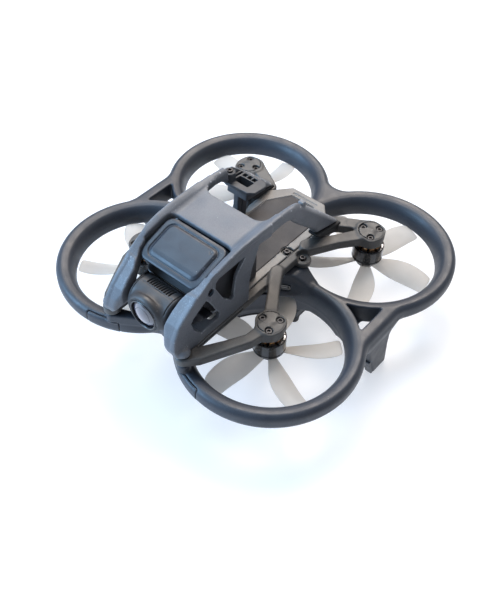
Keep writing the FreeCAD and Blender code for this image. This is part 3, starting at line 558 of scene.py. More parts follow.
FRAME_PLASTIC = moulded(
    "frame_plastic_moulded", (0.084, 0.089, 0.102), (0.112, 0.119, 0.134), 0.48, grain=0.55, bump=0.014,
    wear=(0.46, 0.48, 0.52), wear_share=0.9, dust=0.35, scratch=0.30, edge=(0.52, 0.58), rub_and_highlight=0.8)
GUARD_PLASTIC = moulded(
    "guard_plastic_moulded", (0.019, 0.022, 0.030), (0.029, 0.034, 0.045), 0.45, grain=0.50, bump=0.016,
    wear=(0.12, 0.12, 0.125), wear_share=0.5, dust=0.15)
LID_PLASTIC = moulded(
    "lid_plastic_satin", (0.012, 0.015, 0.022), (0.019, 0.023, 0.033), 0.40, grain=0.30, bump=0.010,
    wear=(0.12, 0.14, 0.18), wear_share=0.5, dust=0.9)
DARK_PLASTIC = moulded(
    "dark_plastic_matte", (0.012, 0.012, 0.015), (0.022, 0.022, 0.026), 0.55, grain=0.35, bump=0.02,
    wear=(0.07, 0.07, 0.075), dust=0.2)
ARM_CASTING = moulded(
    "arm_casting_painted", (0.040, 0.038, 0.038), (0.070, 0.066, 0.062), 0.50, grain=0.40, bump=0.03,
    wear=(0.16, 0.14, 0.12), wear_share=0.6, dust=0.3)
DECK_PLASTIC = moulded(
    "deck_plastic_satin", (0.150, 0.142, 0.135), (0.200, 0.190, 0.180), 0.50, grain=0.30, bump=0.014,
    wear=(0.36, 0.35, 0.33), dust=0.4, scratch=0.35)
LABEL = moulded(
    "label_film", (0.040, 0.037, 0.038), (0.056, 0.052, 0.053), 0.60, grain=0.5, bump=0.006, dust=0.3,
    gloss=0.3)
SOCKET_PLASTIC = moulded(
    "socket_plastic_matte", (0.035, 0.037, 0.043), (0.050, 0.053, 0.060), 0.5, grain=0.3, bump=0.014,
    wear=(0.22, 0.23, 0.25), wear_share=0.9, dust=0.15, rub_and_highlight=0.5)
LENS_TRIM = moulded(
    "lens_trim_black", (0.006, 0.006, 0.008), (0.012, 0.012, 0.015), 0.30, grain=0.3, bump=0.006, coat=0.3,
    dust=0.05)
CAMERA_PAINT = moulded(
    "camera_paint_satin", (0.024, 0.024, 0.027), (0.040, 0.038, 0.039), 0.50, grain=0.28, bump=0.012,
    wear=(0.14, 0.135, 0.135), dust=0.2)
RUBBER = moulded(
    "rubber_matte", (0.010, 0.010, 0.011), (0.020, 0.020, 0.021), 0.72, grain=0.5, bump=0.03, dust=0.5)
BOARD = moulded(
    "board_laminate", (0.008, 0.030, 0.020), (0.012, 0.042, 0.028), 0.35, grain=0.8, bump=0.01, dust=0.1)
BELL_METAL = metal(
    "bell_metal_black", (0.006, 0.006, 0.007), (0.014, 0.014, 0.016), 0.24, streak=(0.3, 0.3, 6), grain=0.8,
    bump=0.003, metallic=0.6, coat=0.6)
STEEL = metal("shaft_steel_ground", (0.42, 0.42, 0.43), (0.62, 0.62, 0.63), 0.28, streak=(0.3, 0.3, 8))
SCREW_STEEL = metal("screw_steel_blackened", (0.020, 0.020, 0.022), (0.060, 0.060, 0.064), 0.34, grain=0.3)
MAGNET = metal("magnet_plated", (0.40, 0.40, 0.42), (0.55, 0.55, 0.57), 0.30)
COPPER = metal(
    "copper_enamelled", (0.52, 0.25, 0.10), (0.86, 0.52, 0.26), 0.26, streak=(1, 1, 9), grain=0.9, bump=0.04)
LAMINATE = metal(
    "laminate_stack", (0.10, 0.10, 0.105), (0.24, 0.24, 0.25), 0.40, streak=(0.2, 0.2, 14), grain=1.0,
    bump=0.02)
CONTACT = metal("contact_plated", (0.62, 0.42, 0.16), (0.86, 0.64, 0.30), 0.28)
ALUMINIUM = metal("aluminium_milled", (0.45, 0.45, 0.47), (0.62, 0.62, 0.64), 0.38, streak=(8, 1, 1))


def propeller_plastic():
    """Smoke-tinted clear plastic that lets soft light through."""
    n = Nodes("propeller_plastic_smoke")
    cloud = n.noise(16.0, 3, 0.5)
    n.feed(n.shader, "Base Color", n.blend(n.span(cloud, 0.3, 0.7), (0.56, 0.53, 0.495), (0.66, 0.63, 0.59)))
    n.feed(n.shader, "Roughness", n.span(n.noise(3.0, 4, 0.6), 0.3, 0.7, 0.30, 0.42))
    n.shader.inputs["Transmission Weight"].default_value = 0.65
    n.shader.inputs["IOR"].default_value = 1.2
    return n.material


def lens_glass():
    """Dark glass whose colour turns violet towards its rim as a painted coating reflection, with a faint
    green cloud.
    """
    n = Nodes("lens_glass_coated")
    weight = n.add("ShaderNodeLayerWeight")
    weight.inputs["Blend"].default_value = 0.35
    # Violet where the surface is seen edge-on: a painted reflection of the coating.
    tint = n.blend(n.span(weight.outputs["Facing"], 0.05, 0.6), (0.012, 0.012, 0.020), (0.060, 0.045, 0.085))
    tint = n.blend(n.span(n.noise(3.0, 2, 0.5), 0.3, 0.7, 0.0, 0.25), tint, (0.02, 0.05, 0.05))
    n.feed(n.shader, "Base Color", tint)
    n.feed(n.shader, "Roughness", n.span(n.noise(1.5, 3, 0.6), 0.3, 0.7, 0.03, 0.07))
    n.shader.inputs["Coat Weight"].default_value = 1.0
    n.shader.inputs["Coat Roughness"].default_value = 0.02
    n.shader.inputs["Specular IOR Level"].default_value = 0.9
    return n.material


PROPELLER_PLASTIC = propeller_plastic()
LENS_GLASS = lens_glass()


# ---- propeller guard ----
def arc_points(cx, cy, radius, start, end, steps):
    """Points on an arc, angles in degrees."""
    turn = np.radians(np.linspace(start, end, steps))
    return [(cx + radius * math.cos(a), cy + radius * math.sin(a)) for a in turn]


SIDE_X = 81.5
SIDE_FILLET = 15.0
WEB_Y = 71.5


def guard_outline():
    """Plan outline of the four rings, joined by filleted webs and side struts."""
    reach = RING_RADIUS + SIDE_FILLET
    side_cx = SIDE_X + SIDE_FILLET
    rise = math.sqrt(reach ** 2 - (side_cx - MOTOR_X) ** 2)
    side_cy = rise - MOTOR_Y
    depth = WEB_Y - MOTOR_Y
    web_fillet = (MOTOR_X ** 2 + depth ** 2 - RING_RADIUS ** 2) / (2 * (RING_RADIUS - depth))
    web_cy = -(WEB_Y + web_fillet)
    to_web = math.degrees(math.atan2(web_cy + MOTOR_Y, -MOTOR_X))
    to_side = math.degrees(math.atan2(rise, side_cx - MOTOR_X))
    quarter = arc_points(0, web_cy, web_fillet, 90, to_web + 180, 16)
    quarter += arc_points(MOTOR_X, -MOTOR_Y, RING_RADIUS, to_web, to_side, 84)[1:]
    quarter += arc_points(side_cx, side_cy, SIDE_FILLET, to_side + 180, 180, 14)[1:]
    half = quarter + [(x, -y) for x, y in reversed(quarter)]
    return half + [(-x, y) for x, y in reversed(half[1:-1])]


MOUTH_Z = 26.8
MOUTH_RADIUS = 43.6
PORT_TURN = math.radians(29.0)
PORT_Z = 31.0
RIM_Z = 37.0


def port_pocket(f):
    """Rounded slot through each front ring's wall and the shell behind it, for a port."""
    port_x = MOTOR_X - THROAT * math.sin(PORT_TURN)
    port_y = -MOTOR_Y + THROAT * math.cos(PORT_TURN)
    across, ahead = np.abs(f.x) - port_x, f.y - port_y
    along = across * math.cos(PORT_TURN) + ahead * math.sin(PORT_TURN)
    inward = -across * math.sin(PORT_TURN) + ahead * math.cos(PORT_TURN)
    return both(both(np.abs(along) - 4.6, np.abs(f.z - PORT_Z) - 1.9, 1.7), np.abs(inward) - 4.6)


def guard_fields(f):
    """The whole guard, and the two caps on its front rings."""
    ax, ay = np.abs(f.x), np.abs(f.y)
    rotor = circle(ax, ay, MOTOR_X, MOTOR_Y, 0)
    plan = polygon(f.x, f.y, guard_outline())
    shape = both(plan, f.z - RIDGE_Z, 3.6)
    shape = both(shape, FOOT_Z - f.z, 6.3)
    rise = np.linspace(0, 1, 14)
    heights = [0, *(MOUTH_Z + (RIDGE_Z - MOUTH_Z) * rise)]
    radii = [THROAT, *(THROAT + (MOUTH_RADIUS - THROAT) * (1 - np.sqrt(1 - rise ** 2)))]
    mouth = rotor - np.interp(f.z, heights, radii).astype(np.float32)
    shape = both(shape, -mouth, 1.4)
    core = both(ax - 20.5, ay - 36.0, 1.0)
    shape = without(shape, core, 0.6)
    window = both(both(both(50 - ax, ax - 73.6, 0.5), ay - 16), 45.2 - rotor, 1.4)
    shape = without(shape, window, 0.9)
    skirt = polygon(ax, f.z, [(20.5, 14), (30, 16), (40, 20), (60, 20), (66, 24.3), (66, 25.6), (20.5, 25.6)])
    skirt = both(both(skirt, ay - 14), THROAT - rotor, 0.8)
    shape = join(shape, skirt, 0.8)
    root = polygon(ax, f.z, [(20.5, 27), (20.5, 40), (28.5, 40), (37.5, 35.2), (37.5, 27)])
    root = both(both(root, ay - 14, 1.0), 39.4 - rotor, 1.0)
    shape = join(shape, root, 1.8)
    leg = polygon(f.y, f.z, [
        (-2.0, 0.0), (9.6, 0.0), (8.9, 9.0), (8.2, 16.0), (8.2, 23.0), (9.6, 26.6), (12.4, 29.2), (16, 31),
        (-19, 31), (-14.6, 28.2), (-11.6, 25.0), (-9.6, 20.6), (-7.4, 13.8), (-4.0, 5.6),
    ])
    leg = both(both(leg, slab(ax, 77.3, SIDE_X), 1.2), -f.z, 0.6)
    shape = join(shape, leg, 2.2)
    rim = [(-1.0, -72.4, 2.4), (8.0, -74.2, 2.4), (16.0, -79.0, 2.5), (*TIP, 3.3)]
    rim = bar(f.folded(), [(x, y, RIM_Z, half, 2.9) for x, y, half in rim], 0.8)
    shape = join(shape, rim, 1.0)
    shape = without(shape, port_pocket(f), 0.5)
    turn = np.degrees(np.arctan2(f.y + MOTOR_Y, ax - MOTOR_X))
    sector = both(slab(turn, -118.5, -97.0) * 0.8, 45.4 - rotor)
    sector = both(sector, slab(f.z, 26.0, 34.8), 0.5)
    caps = both(shape - 0.12, sector, 0.4)
    shape = without(shape, both(sector - 0.25, f.y + 60), 0.2)
    return shape, caps


def build_guard():
    f = Field((-91.5, -91.5, -1.4), (91.5, 91.5, 41.4), 0.56)
    shape, _ = guard_fields(f)
    add_skin("propeller_guard", f, shape, GUARD_PLASTIC, slot="guard_plastic",
             stands_for=("guard_left", "guard_right"))
    f = Field((-45, -91.5, 24), (45, -76, 37), 0.4)
    _, caps = guard_fields(f)
    add_skin("guard_antenna_caps", f, caps, GUARD_PLASTIC, slot="guard_plastic", stands_for=("antenna_caps",))


# ---- upper frame ----
SOCKET_SCREW = (-21.3, 1.0, 78.8)
# Side outlines of the cage, as (y, z) points.
CHEEK = [
    (-26, 83.2), (-40, 83.1), (-50, 81.9), (-59.5, 79.4), (-67.2, 75.6), (-74.5, 68.8), (-79.4, 65.0),
    (-83.2, 61.2), (-86.6, 55.6), (-88.2, 50.6), (-87.6, 47.4), (-85.6, RAIL_TOP), (-37.2, RAIL_TOP),
    (-28.0, 75.2), (-20, 75.0), (-20, 83.0),
]
RAIL = [
    (-27.5, 83.2), (-18, 82.9), (-9, 82.5), (-2.5, 81.8), (1.6, 80.6), (5.0, 78.2), (20, 64.2), (35.2, 49.4),
    (36.8, 47.1), (16.4, 52.0), (14.6, 55.4), (4.0, 65.2), (-0.6, 69.6), (-3.4, 73.0), (-6.4, 75.4),
    (-11.5, 76.2), (-20, 75.0), (-27.5, 74.5),
]
BOOT = [
    (15.9, 51.8), (37.0, 46.9), (38.0, 45.2), (37.6, 42.6), (34.8, 41.3), (29.0, 43.4), (20.0, 47.4),
    (16.2, 50.0),
]
CHEEK_WINDOWS = [
    [(-58.3, 68.4), (-58.1, 71.8), (-56.2, 73.5), (-37.4, 73.7), (-43.8, 65.3), (-46.3, 53.6), (-48.2, 53.0),
     (-52.8, 57.4)],
    [(-65.2, 66.0), (-62.3, 62.2), (-57.0, 51.4), (-58.4, 49.4), (-70.6, 49.8), (-74.0, 53.4), (-75.4, 59.1),
     (-73.6, 61.0)],
]
CHEEK_HOLE = (22.2, -61.6, 68.7)
BRIDGE_HALF = 23.2


def levels(w, places, sizes):
    """A size that changes in straight steps with the height or place w."""
    return np.interp(w, places, sizes).astype(np.float32)


def cheek_and_rail(f, ax):
    """Side walls: a cheek beside the head, then a tube-like rail and rear leg."""
    back = np.clip((f.y + 34) / 22, 0, 1)
    cheek_out = np.interp(f.z, [45.6, 50, 55, 62, 75, 84], [24.8, 23.7, 22.5, 22.0, 22.3, 23.2])
    rail_out = np.interp(f.z, [46, 60, 75, 84], [25.9, 25.4, 24.3, 23.8])
    cheek_in = np.interp(f.z, [45.6, 55, 67, 75, 78, 84], [21.6, 20.5, 20.1, 20.1, 19.6, 19.6])
    rail_in = np.interp(f.z, [46, 72, 78, 84], [19.0, 18.9, 19.4, 19.6])
    outer = (ax - (cheek_out * (1 - back) + rail_out * back)).astype(np.float32)
    inner = ((cheek_in * (1 - back) + rail_in * back) - ax).astype(np.float32)
    wall = np.maximum(outer, inner)
    walls = join(both(polygon(f.y, f.z, CHEEK), wall, 0.5), both(polygon(f.y, f.z, RAIL), wall, 2.6), 0.8)
    return walls, outer


def nose_field(f, ax, outer):
    """Thick front end of each cheek."""
    plan = polygon(ax, f.y, [
        (13.4, -84.2), (16.6, -88.0), (21.6, -89.6), (25.2, -86), (25.2, -74), (22.2, -62), (18.9, -62),
        (18.4, -66.0), (14.4, -74),
    ])
    front_in = levels(f.z, [45.6, 47, 50, 54, 66, 84], [19.2, 18.4, 15.6, 13.3, 13.6, 14.6])
    return both(both(polygon(f.y, f.z, CHEEK), plan, 1.1), np.maximum(outer, front_in - ax), 0.6)


def cheek_hole(f, ax):
    """Round hole drilled square to the cheek's bevel."""
    across, along, rise = ax - CHEEK_HOLE[0], f.y - CHEEK_HOLE[1], f.z - CHEEK_HOLE[2]
    depth = across * 0.80 - along * 0.25 + rise * 0.55
    reach = np.sqrt(np.maximum(across ** 2 + along ** 2 + rise ** 2 - depth ** 2, 0))
    return both(reach - 2.0, -7.0 - depth)


def bridge_field(f, ax):
    """Saddle that joins the two rails, open over the lid and over the battery bay; and its top surface."""
    crown = np.interp(
        f.y, [-70, -59.5, -50, -40, -27, -18, -9, 0], [73, 79.4, 81.9, 83.1, 83.2, 82.9, 82.5, 81.4])
    base = np.interp(f.y, [-70, -60, -50, -43, -21, -8], [72, 77.6, 79.6, 80.3, 81.5, 81.3])
    lift = np.clip((ax - 16.5) / (BRIDGE_HALF - 16.5), 0, 1)
    lift = lift * lift * (3 - 2 * lift)
    top = (base + (crown - base) * lift).astype(np.float32)
    saddle = both(f.z - top, (top - 3.1) - f.z, 0.6)
    saddle = both(both(saddle, slab(f.y, -58, -12)), ax - BRIDGE_HALF, 0.8)
    lid_gap = both(both(ax - 20.2, f.y + 42.2, 5.5), -90 - f.y)
    bay_gap = both(both(ax - 19.3, -21.6 - f.y, 6.5), f.y - 60)
    return without(without(saddle, lid_gap, 0.7), bay_gap, 0.7), top


def frame_field(f):
    """The cage: two cheeks with thick noses, two rails with rear legs, and the bridge."""
    ax = np.abs(f.x)
    shape, outer = cheek_and_rail(f, ax)
    shape = join(shape, nose_field(f, ax, outer), 1.0)
    boss = both(circle(ax, f.y, *TIP, 3.6), slab(f.z, RAIL_TOP, 49.9), 2.2)
    boss = both(boss, RAIL_TOP - f.z, 0.3)
    shape = join(shape, boss, 1.6)
    for outline in CHEEK_WINDOWS:
        hole = polygon(f.y, f.z, outline)
        shape = without(shape, both(hole, 12.6 - ax), 0.45)
    shape = without(shape, cheek_hole(f, ax), 0.2)
    saddle, top = bridge_field(f, ax)
    shape = join(shape, saddle, 1.0)
    shape = both(shape, np.where(f.y < -2, f.z - top, -5.0), 0.7)
    tab = rounded_box(f, (20.4, 23.6), (3.6, 6.4), (76.0, 80.0), 0.5)
    return join(shape, tab, 0.4)


def build_frame():
    """The cage, less the room for the socket and its screw."""
    f = Field((-28.2, -90.6, 44.8), (28.2, 39.2, 84.6), 0.33)
    shape = frame_field(f)
    room = both(both(slab(f.x, -22.9, -9.0), slab(f.y, 0.9, 12.5)), slab(f.z, 63.8, 90))
    shape = without(without(shape, room, 0.3), socket_flange(f) - 0.2, 0.1)
    cup = both(circle(f.x, f.y, *SOCKET_SCREW[:2], 3.7), 71.5 - f.z, 0.3)
    shape = without(shape, cup, 0.4)
    add_skin("bridged_frame", f, shape, FRAME_PLASTIC, slot="frame_plastic", stands_for=("upper_frame",))


def boot_field(f):
    """Dark pads that each rail's rear foot stands in."""
    ax = np.abs(f.x)
    return both(polygon(f.y, f.z, BOOT), slab(ax, 19.6, 26.3), 1.0)


def build_boots():
    f = Field((-27.4, 14.4, 40.2), (27.4, 39.4, 53.2), 0.3)
    shape = without(boot_field(f), frame_field(f) - 0.05, 0.1)
    shape = without(shape, both(np.abs(f.x) - 20.5, f.z - 46.3), 0.1)
    add_skin("rail_boots", f, shape, RUBBER, slot="rubber", stands_for=("rear_foot_pads",))


# ---- arm castings ----
def arm_field(f):
    """Left casting; f covers the positive side."""
    top = 46.5
    shape = None
    for y in (-MOTOR_Y, MOTOR_Y):
        seat = circle(f.x, f.y, MOTOR_X, y, 7.3)
        for turn in (60, 180, 300):
            a = math.radians(turn)
            lobe = circle(f.x, f.y, MOTOR_X + SCREW_CIRCLE * math.cos(a), y + SCREW_CIRCLE * math.sin(a), 2.9)
            seat = join(seat, lobe, 2.0)
        seat = both(seat, slab(f.z, 41.0, top), 0.7)
        shape = seat if shape is None else np.minimum(shape, seat)
    beams = [
        [(22.6, -13.0, 43.6, 3.4, 2.8), (30.0, -24.6, 43.8, 3.0, 2.7), (40.6, -40.6, 43.7, 3.4, 2.8)],
        [(23.0, 12.0, 43.6, 4.2, 2.8), (32, 26, 43.8, 3.4, 2.6), (41.0, 39.5, 43.7, 4.2, 2.7)],
        [(22.0, 36.2, 43.5, 3.9, 2.5), (31, 41.4, 43.7, 3.8, 2.7), (40.0, 45.6, 43.7, 4.6, 2.8)],
        [(42.0, -47.0, 43.7, 3.2, 2.8), (40.7, -56.3, 43.7, 2.8, 2.8), (35.6, -66.0, 43.6, 3.1, 2.7),
         (28.6, -78.2, 43.4, 3.9, 2.5), (*TIP, 43.3, 4.0, 2.3)],
    ]
    for path in beams:
        shape = join(shape, bar(f, path, 0.9), 2.2)
    rail = both(both(slab(f.x, 20.5, 25.0), slab(f.y, TIP[1], 38.0), 0.8), slab(f.z, 41.0, RAIL_TOP), 0.6)
    groove = both(both(slab(f.z, 42.6, 43.9), 24.5 - f.x), slab(f.y, -74, -42), 0.3)
    shape = join(shape, without(rail, groove, 0.2), 1.6)
    lug = both(both(slab(f.x, 15.4, 24.0), slab(f.y, -1.4, 4.2), 1.0), slab(f.z, 41.2, 45.0), 0.5)
    shape = join(shape, lug, 0.6)
    for y in (-MOTOR_Y, MOTOR_Y):
        seam = both(np.abs(circle(f.x, f.y, MOTOR_X, y, 6.7)) - 0.18, 46.15 - f.z)
        shape = without(shape, seam, 0.1)
        for turn in (60, 180, 300):
            a = math.radians(turn)
            x, sy = MOTOR_X + SCREW_CIRCLE * math.cos(a), y + SCREW_CIRCLE * math.sin(a)
            shape = without(shape, both(circle(f.x, f.y, x, sy, 1.95), 44.6 - f.z), 0.25)
    tab = both(circle(f.x, f.y, 25.6, 5.0, 4.6), slab(f.z, 40.1, 43.0), 0.6)
    above = both(circle(f.x, f.y, 25.6, 5.0, 3.4), 43.0 - f.z)
    shape = join(without(shape, above, 0.4), tab, 0.6)
    shape = without(shape, both(circle(f.x, f.y, 25.6, 5.0, 2.0), 41.8 - f.z), 0.2)
    shape = without(shape, both(circle(f.x, f.y, 17.9, 1.4, 1.95), 44.0 - f.z), 0.2)
    return shape


def build_arms():
    """Left casting, and its mirror image on the right."""
    f = Field((14.4, -88.6, 39.2), (52.6, 53.0, 47.6), 0.34)
    shape = arm_field(f)
    shape = without(shape, np.minimum(frame_field(f), boot_field(f)) - 0.06, 0.1)
    left = skin(f, shape, "arm_casting_left")
    right = moved(left, Matrix.Scale(-1, 4, (1, 0, 0)))
    right.name = "arm_casting_right"
    add_piece("arm_casting_left", left, ARM_CASTING, slot="arm_casting", stands_for=("arm_left",))
    add_piece("arm_casting_right", right, ARM_CASTING, slot="arm_casting", stands_for=("arm_right",))


# ---- head, lid and camera ----
HEAD = [
    (-23, 46.2), (-23, 76.2), (-42, 75.2), (-66.5, 70.2), (-68.8, 69.2), (-66.5, 62.5), (-58, 50),
    (-56, 46.2),
]
HEAD_HALF = 18.2


def sweep_room(f, gap):
    """Room for the barrel all round, and for the hood, brow and chin over the tilt."""
    reach = circle(f.y, f.z, TILT.y, TILT.z, 0)
    turn = np.degrees(np.arctan2(f.z - TILT.z, TILT.y - f.y))
    hood = both(reach - (14.4 + gap), np.maximum(turn - 150, -167 - turn) * 0.2)
    return np.minimum(reach - (9.2 + gap), hood)


def build_head():
    """Dark housing behind the camera, hollowed for the barrel's sweep and for the fan."""
    f = Field((-19, -70, 45.4), (19, -22, 77.2), 0.45)
    shape = both(polygon(f.y, f.z, HEAD), np.abs(f.x) - HEAD_HALF, 1.2)
    plan = polygon(f.x, f.y, [
        (-HEAD_HALF, -20), (-HEAD_HALF, -62), (-13.5, -70), (13.5, -70), (HEAD_HALF, -62), (HEAD_HALF, -20),
    ])
    shape = both(shape, plan, 1.4)
    shape = without(shape, sweep_room(f, 0.6), 0.7)
    room = rounded_box(f, (-9.3, 9.3), (-58.3, -39.7), (66.2, 90), 0.8)
    shape = without(shape, room, 0.3)
    add_skin("camera_head", f, shape, DARK_PLASTIC, slot="dark_plastic", stands_for=("head_shell",))


LID_EDGE = [(-43.8, 79.7), (-45.6, 79.6), (-51, 78.1), (-57, 76.3), (-62, 74.6), (-65, 73.1), (-67.2, 71.9),
            (-68.5, 70.9)]


def build_lid():
    """Raised lid on the head, with a panel, a groove round it and a small triangle."""
    f = Field((-20, -69.8, 68.6), (20, -42.6, 82.2), 0.30)
    ys = [p[0] for p in reversed(LID_EDGE)]
    zs = [p[1] for p in reversed(LID_EDGE)]
    top = np.interp(f.y, ys, zs).astype(np.float32)
    plan = both(slab(f.x, -18.9, 18.9), slab(f.y, -68.4, -43.8), 5.2)
    shape = both(plan, (f.z - top) * 0.94, 1.1)
    bottom = np.interp(f.y, [-70, -66.5, -43], [70.7, 70.7, 75.8]).astype(np.float32)
    shape = both(shape, bottom - f.z, 0.5)
    groove = np.abs(both(slab(f.x, -15.4, 15.4), slab(f.y, -65.4, -47.0), 3.6)) - 0.35
    shape = without(shape, both(groove, (top - 0.5) - f.z), 0.3)
    panel = both(slab(f.x, -14.6, 14.6), slab(f.y, -64.6, -47.8), 3.0)
    panel = both(panel, (f.z - top - 0.55) * 0.94, 1.0)
    shape = join(shape, both(panel, bottom + 1 - f.z), 0.4)
    mark = polygon(f.x, f.y, [(11.0, -49.6), (13.0, -49.6), (12.0, -51.4)])
    shape = without(shape, both(mark, (top + 0.45) - f.z), 0.1)
    add_skin("head_lid", f, shape, LID_PLASTIC, slot="lid_plastic", stands_for=("top_cover",))


GLASS_RADIUS = 7.3
GLASS_CURVE = 12.0


def glass_front(r):
    """Place along Y of the dome's front, r millimetres from its axis."""
    return -85.6 + GLASS_CURVE - math.sqrt(GLASS_CURVE ** 2 - r * r)


def glass_outline():
    """Section of the domed front glass, out along its front and back along its rear."""
    radii = [GLASS_RADIUS * i / 16 for i in range(17)]
    front = [(r, glass_front(r)) for r in radii]
    rear = [(r, glass_front(r) + 0.7) for r in reversed(radii)]
    return front + rear


def build_camera():
    """Barrel that tilts, with its hood, fins, lens ring, tube and glass."""
    f = Field((-13.4, -86.6, 44.4), (13.4, -63.0, 66.8), 0.28)
    reach = circle(f.y, f.z, TILT.y, TILT.z, 0)
    barrel = both(reach - 9.3, np.abs(f.x) - 12.2, 1.6)
    for x in (-10.9, 10.6):
        barrel = without(barrel, both(np.abs(f.x - x) - 0.22, 8.75 - reach), 0.15)
    front = circle(f.x, f.z, 0, TILT.z, 0)
    flare = np.interp(f.y, [-84.6, -83.6, -82.4, -80.2, -77.6, -73.0], [9.0, 9.8, 9.9, 8.8, 8.0, 7.8])
    hood = both(front - flare.astype(np.float32), slab(f.y, -84.4, TILT.y), 0.5)
    brow = both(circle(f.x, f.z, 0, TILT.z + 1.3, 9.1), slab(f.y, -83.4, -80.4), 1.2)
    chin = both(np.abs(f.x - 0.4) - 5.0, slab(f.z, TILT.z - 11.2, TILT.z), 2.4)
    chin = both(chin, slab(f.y, -82.6, -78.0), 0.8)
    shape = join(join(barrel, join(hood, brow, 1.2), 3.0), chin, 1.2)
    shape = without(shape, both(both(front - 9.0, 8.75 - front), f.y + 83.8), 0.1)
    shape = without(shape, both(front - 8.3, f.y + 82.0), 0.3)
    turn = np.degrees(np.arctan2(f.z - TILT.z, f.y - TILT.y))
    sector = both(slab(turn, 52, 92) * 0.16, 8.3 - reach)
    for i in range(10):
        x = -6.7 + 1.5 * i
        shape = without(shape, both(slab(f.x, x - 0.42, x + 0.42), sector, 0.25), 0.2)
    line = both(both(np.abs(turn - 95.5) * 0.16 - 0.16, 9.0 - reach), slab(f.x, -9.0, 10.2))
    shape = without(shape, line, 0.1)
    add_skin("camera_body", f, shape, CAMERA_PAINT, body="camera", slot="camera_paint",
             stands_for=("camera_housing",))
    centre = (0, 0, TILT.z)
    ring = eased([(7.35, -82.2), (7.35, -84.4), (7.6, -84.8), (7.95, -84.8), (8.25, -84.4), (8.25, -82.2),
                  (7.35, -82.2)], 0.2)
    add_turned("lens_front_ring", ring, centre, LENS_TRIM, axis="y", body="camera", slot="lens_trim",
               stands_for=("lens_ring",))
    steps = [(0, -75.6), (8.1, -75.6), (8.1, -81.9), (6.0, -81.9), (4.6, -81.4), (2.0, -81.0), (0, -81.0)]
    add_turned("lens_tube", eased(steps, 0.12), centre, LENS_TRIM, axis="y", body="camera", slot="lens_trim",
               stands_for=("lens_barrel",))
    add_turned("lens_front_glass", glass_outline(), centre, LENS_GLASS, axis="y", steps=128, body="camera",
               slot="lens_glass", stands_for=("lens_glass",))
    marks = []
    for r in (4.4, 6.3, 6.8):
        y = glass_front(r)
        outline = [(r - 0.16, y + 0.3), (r - 0.16, y - 0.03), (r + 0.16, y - 0.01), (r + 0.16, y + 0.3),
                   (r - 0.16, y + 0.3)]
        marks.append(lathe("mark", outline, centre, "y", 96))
    add_set("lens_glass_marks", marks, LENS_TRIM, body="camera", slot="lens_trim")
    paint("camera_pivot", DARK_PLASTIC)
    paint("image_sensor", BOARD)


def paint(node, material):
    """Keeps a CAD node's own mesh and gives it a material."""
    mesh = NODES[node].data
    mesh.materials.clear()
    mesh.materials.append(material)


def build_bracket():
    """Fork that holds the camera's pivot, and the tilt motor inside the barrel."""
    f = Field((-19.6, -78, 46.6), (19.6, -53.4, 67.6), 0.35)
    outline = [(-76.8, 51), (-76.8, 62), (-60, 66.5), (-54.0, 57), (-55, 47.4), (-74.0, 47.4)]
    arms = both(polygon(f.y, f.z, outline), slab(np.abs(f.x), 12.5, 13.8), 0.45)
    tie = rounded_box(f, (-18.9, 18.9), (-62.5, -55.6), (47.4, 49.2), 0.5)
    shape = join(arms, tie, 0.8)
    shape = without(shape, both(sweep_room(f, 0.4), np.abs(f.x) - 12.3), 0.2)
    shape = without(shape, both(circle(f.y, f.z, TILT.y, TILT.z, 1.55), f.x), 0.1)
    shape = without(shape, polygon(f.y, f.z, HEAD) - 0.1, 0.1)
    add_skin("tilt_fork", f, shape, DARK_PLASTIC, slot="dark_plastic", stands_for=("gimbal_bracket",))
    can = eased([(0, 7.0), (7.0, 7.0), (7.0, 11.2), (2.2, 11.4), (2.2, 12.3), (0, 12.3)], 0.4)
    add_turned("tilt_motor", can, (0, TILT.y, TILT.z), BELL_METAL, axis="x", slot="bell_metal",
               stands_for=("gimbal_motor",))


# ---- deck and body ----
def label_outline(inset):
    """Plan of the bay's label, as (x, y) points."""
    half = 15.8 - inset
    front, rear = -22 + inset, 38 - inset
    return [(-half, front), (half, front), (half, 25), (7.5, rear), (-7.5, rear), (-half, 25)]


def build_deck():
    """Floor of the battery bay, with its label film."""
    f = Field((-21.5, -37, 43.4), (21.5, 45, 47.2), 0.36)
    outline = [(-20.3, -36), (20.3, -36), (20.3, 33), (11, 43.8), (-11, 43.8), (-20.3, 33)]
    plan = polygon(f.x, f.y, [(x * 0.97, y * 0.985) for x, y in outline]) - 0.6
    shape = both(plan, slab(f.z, 44.4, 46.0), 0.6)
    wave = 0.35 * np.sin(f.y * 1.1) * (np.abs(f.y - 2) < 9)
    recess = polygon(f.x, f.y, label_outline(0.0)) + wave
    shape = without(shape, both(recess, 45.5 - f.z), 0.25)
    ax = np.abs(f.x)
    notch = join(circle(ax, f.y, 17.9, 1.4, 3.1), both(17.9 - ax, slab(f.y, -1.7, 4.5)), 0.6)
    shape = without(shape, notch, 0.4)
    for y in (-28.5, 40.2):
        rib = both(both(ax - 8.0, np.abs(f.y - y) - 0.5), 45.6 - f.z)
        shape = without(shape, rib, 0.2)
    add_skin("battery_deck", f, shape, DECK_PLASTIC, slot="deck_plastic", stands_for=("bay_floor",))
    f = Field((-16.6, -23, 44.2), (16.6, 39, 46.3), 0.3)
    film = both(polygon(f.x, f.y, label_outline(0.35)), slab(f.z, 45.1, 45.95), 0.12)
    film = without(film, notch_for(f), 0.1)
    add_skin("deck_film", f, film, LABEL, slot="label", stands_for=("floor_label",))


def notch_for(f):
    ax = np.abs(f.x)
    return join(circle(ax, f.y, 17.9, 1.4, 3.4), both(17.9 - ax, slab(f.y, -1.9, 4.7)), 0.6)


def star(f, half_x, half_y, clear):
    """Body plan: a box hollowed by the four ducts, which stay clear millimetres from each rotor axis."""
    ax, ay = np.abs(f.x), np.abs(f.y)
    return both(both(ax - half_x, ay - half_y, 0.8), clear - circle(ax, ay, MOTOR_X, MOTOR_Y, 0), 0.8)


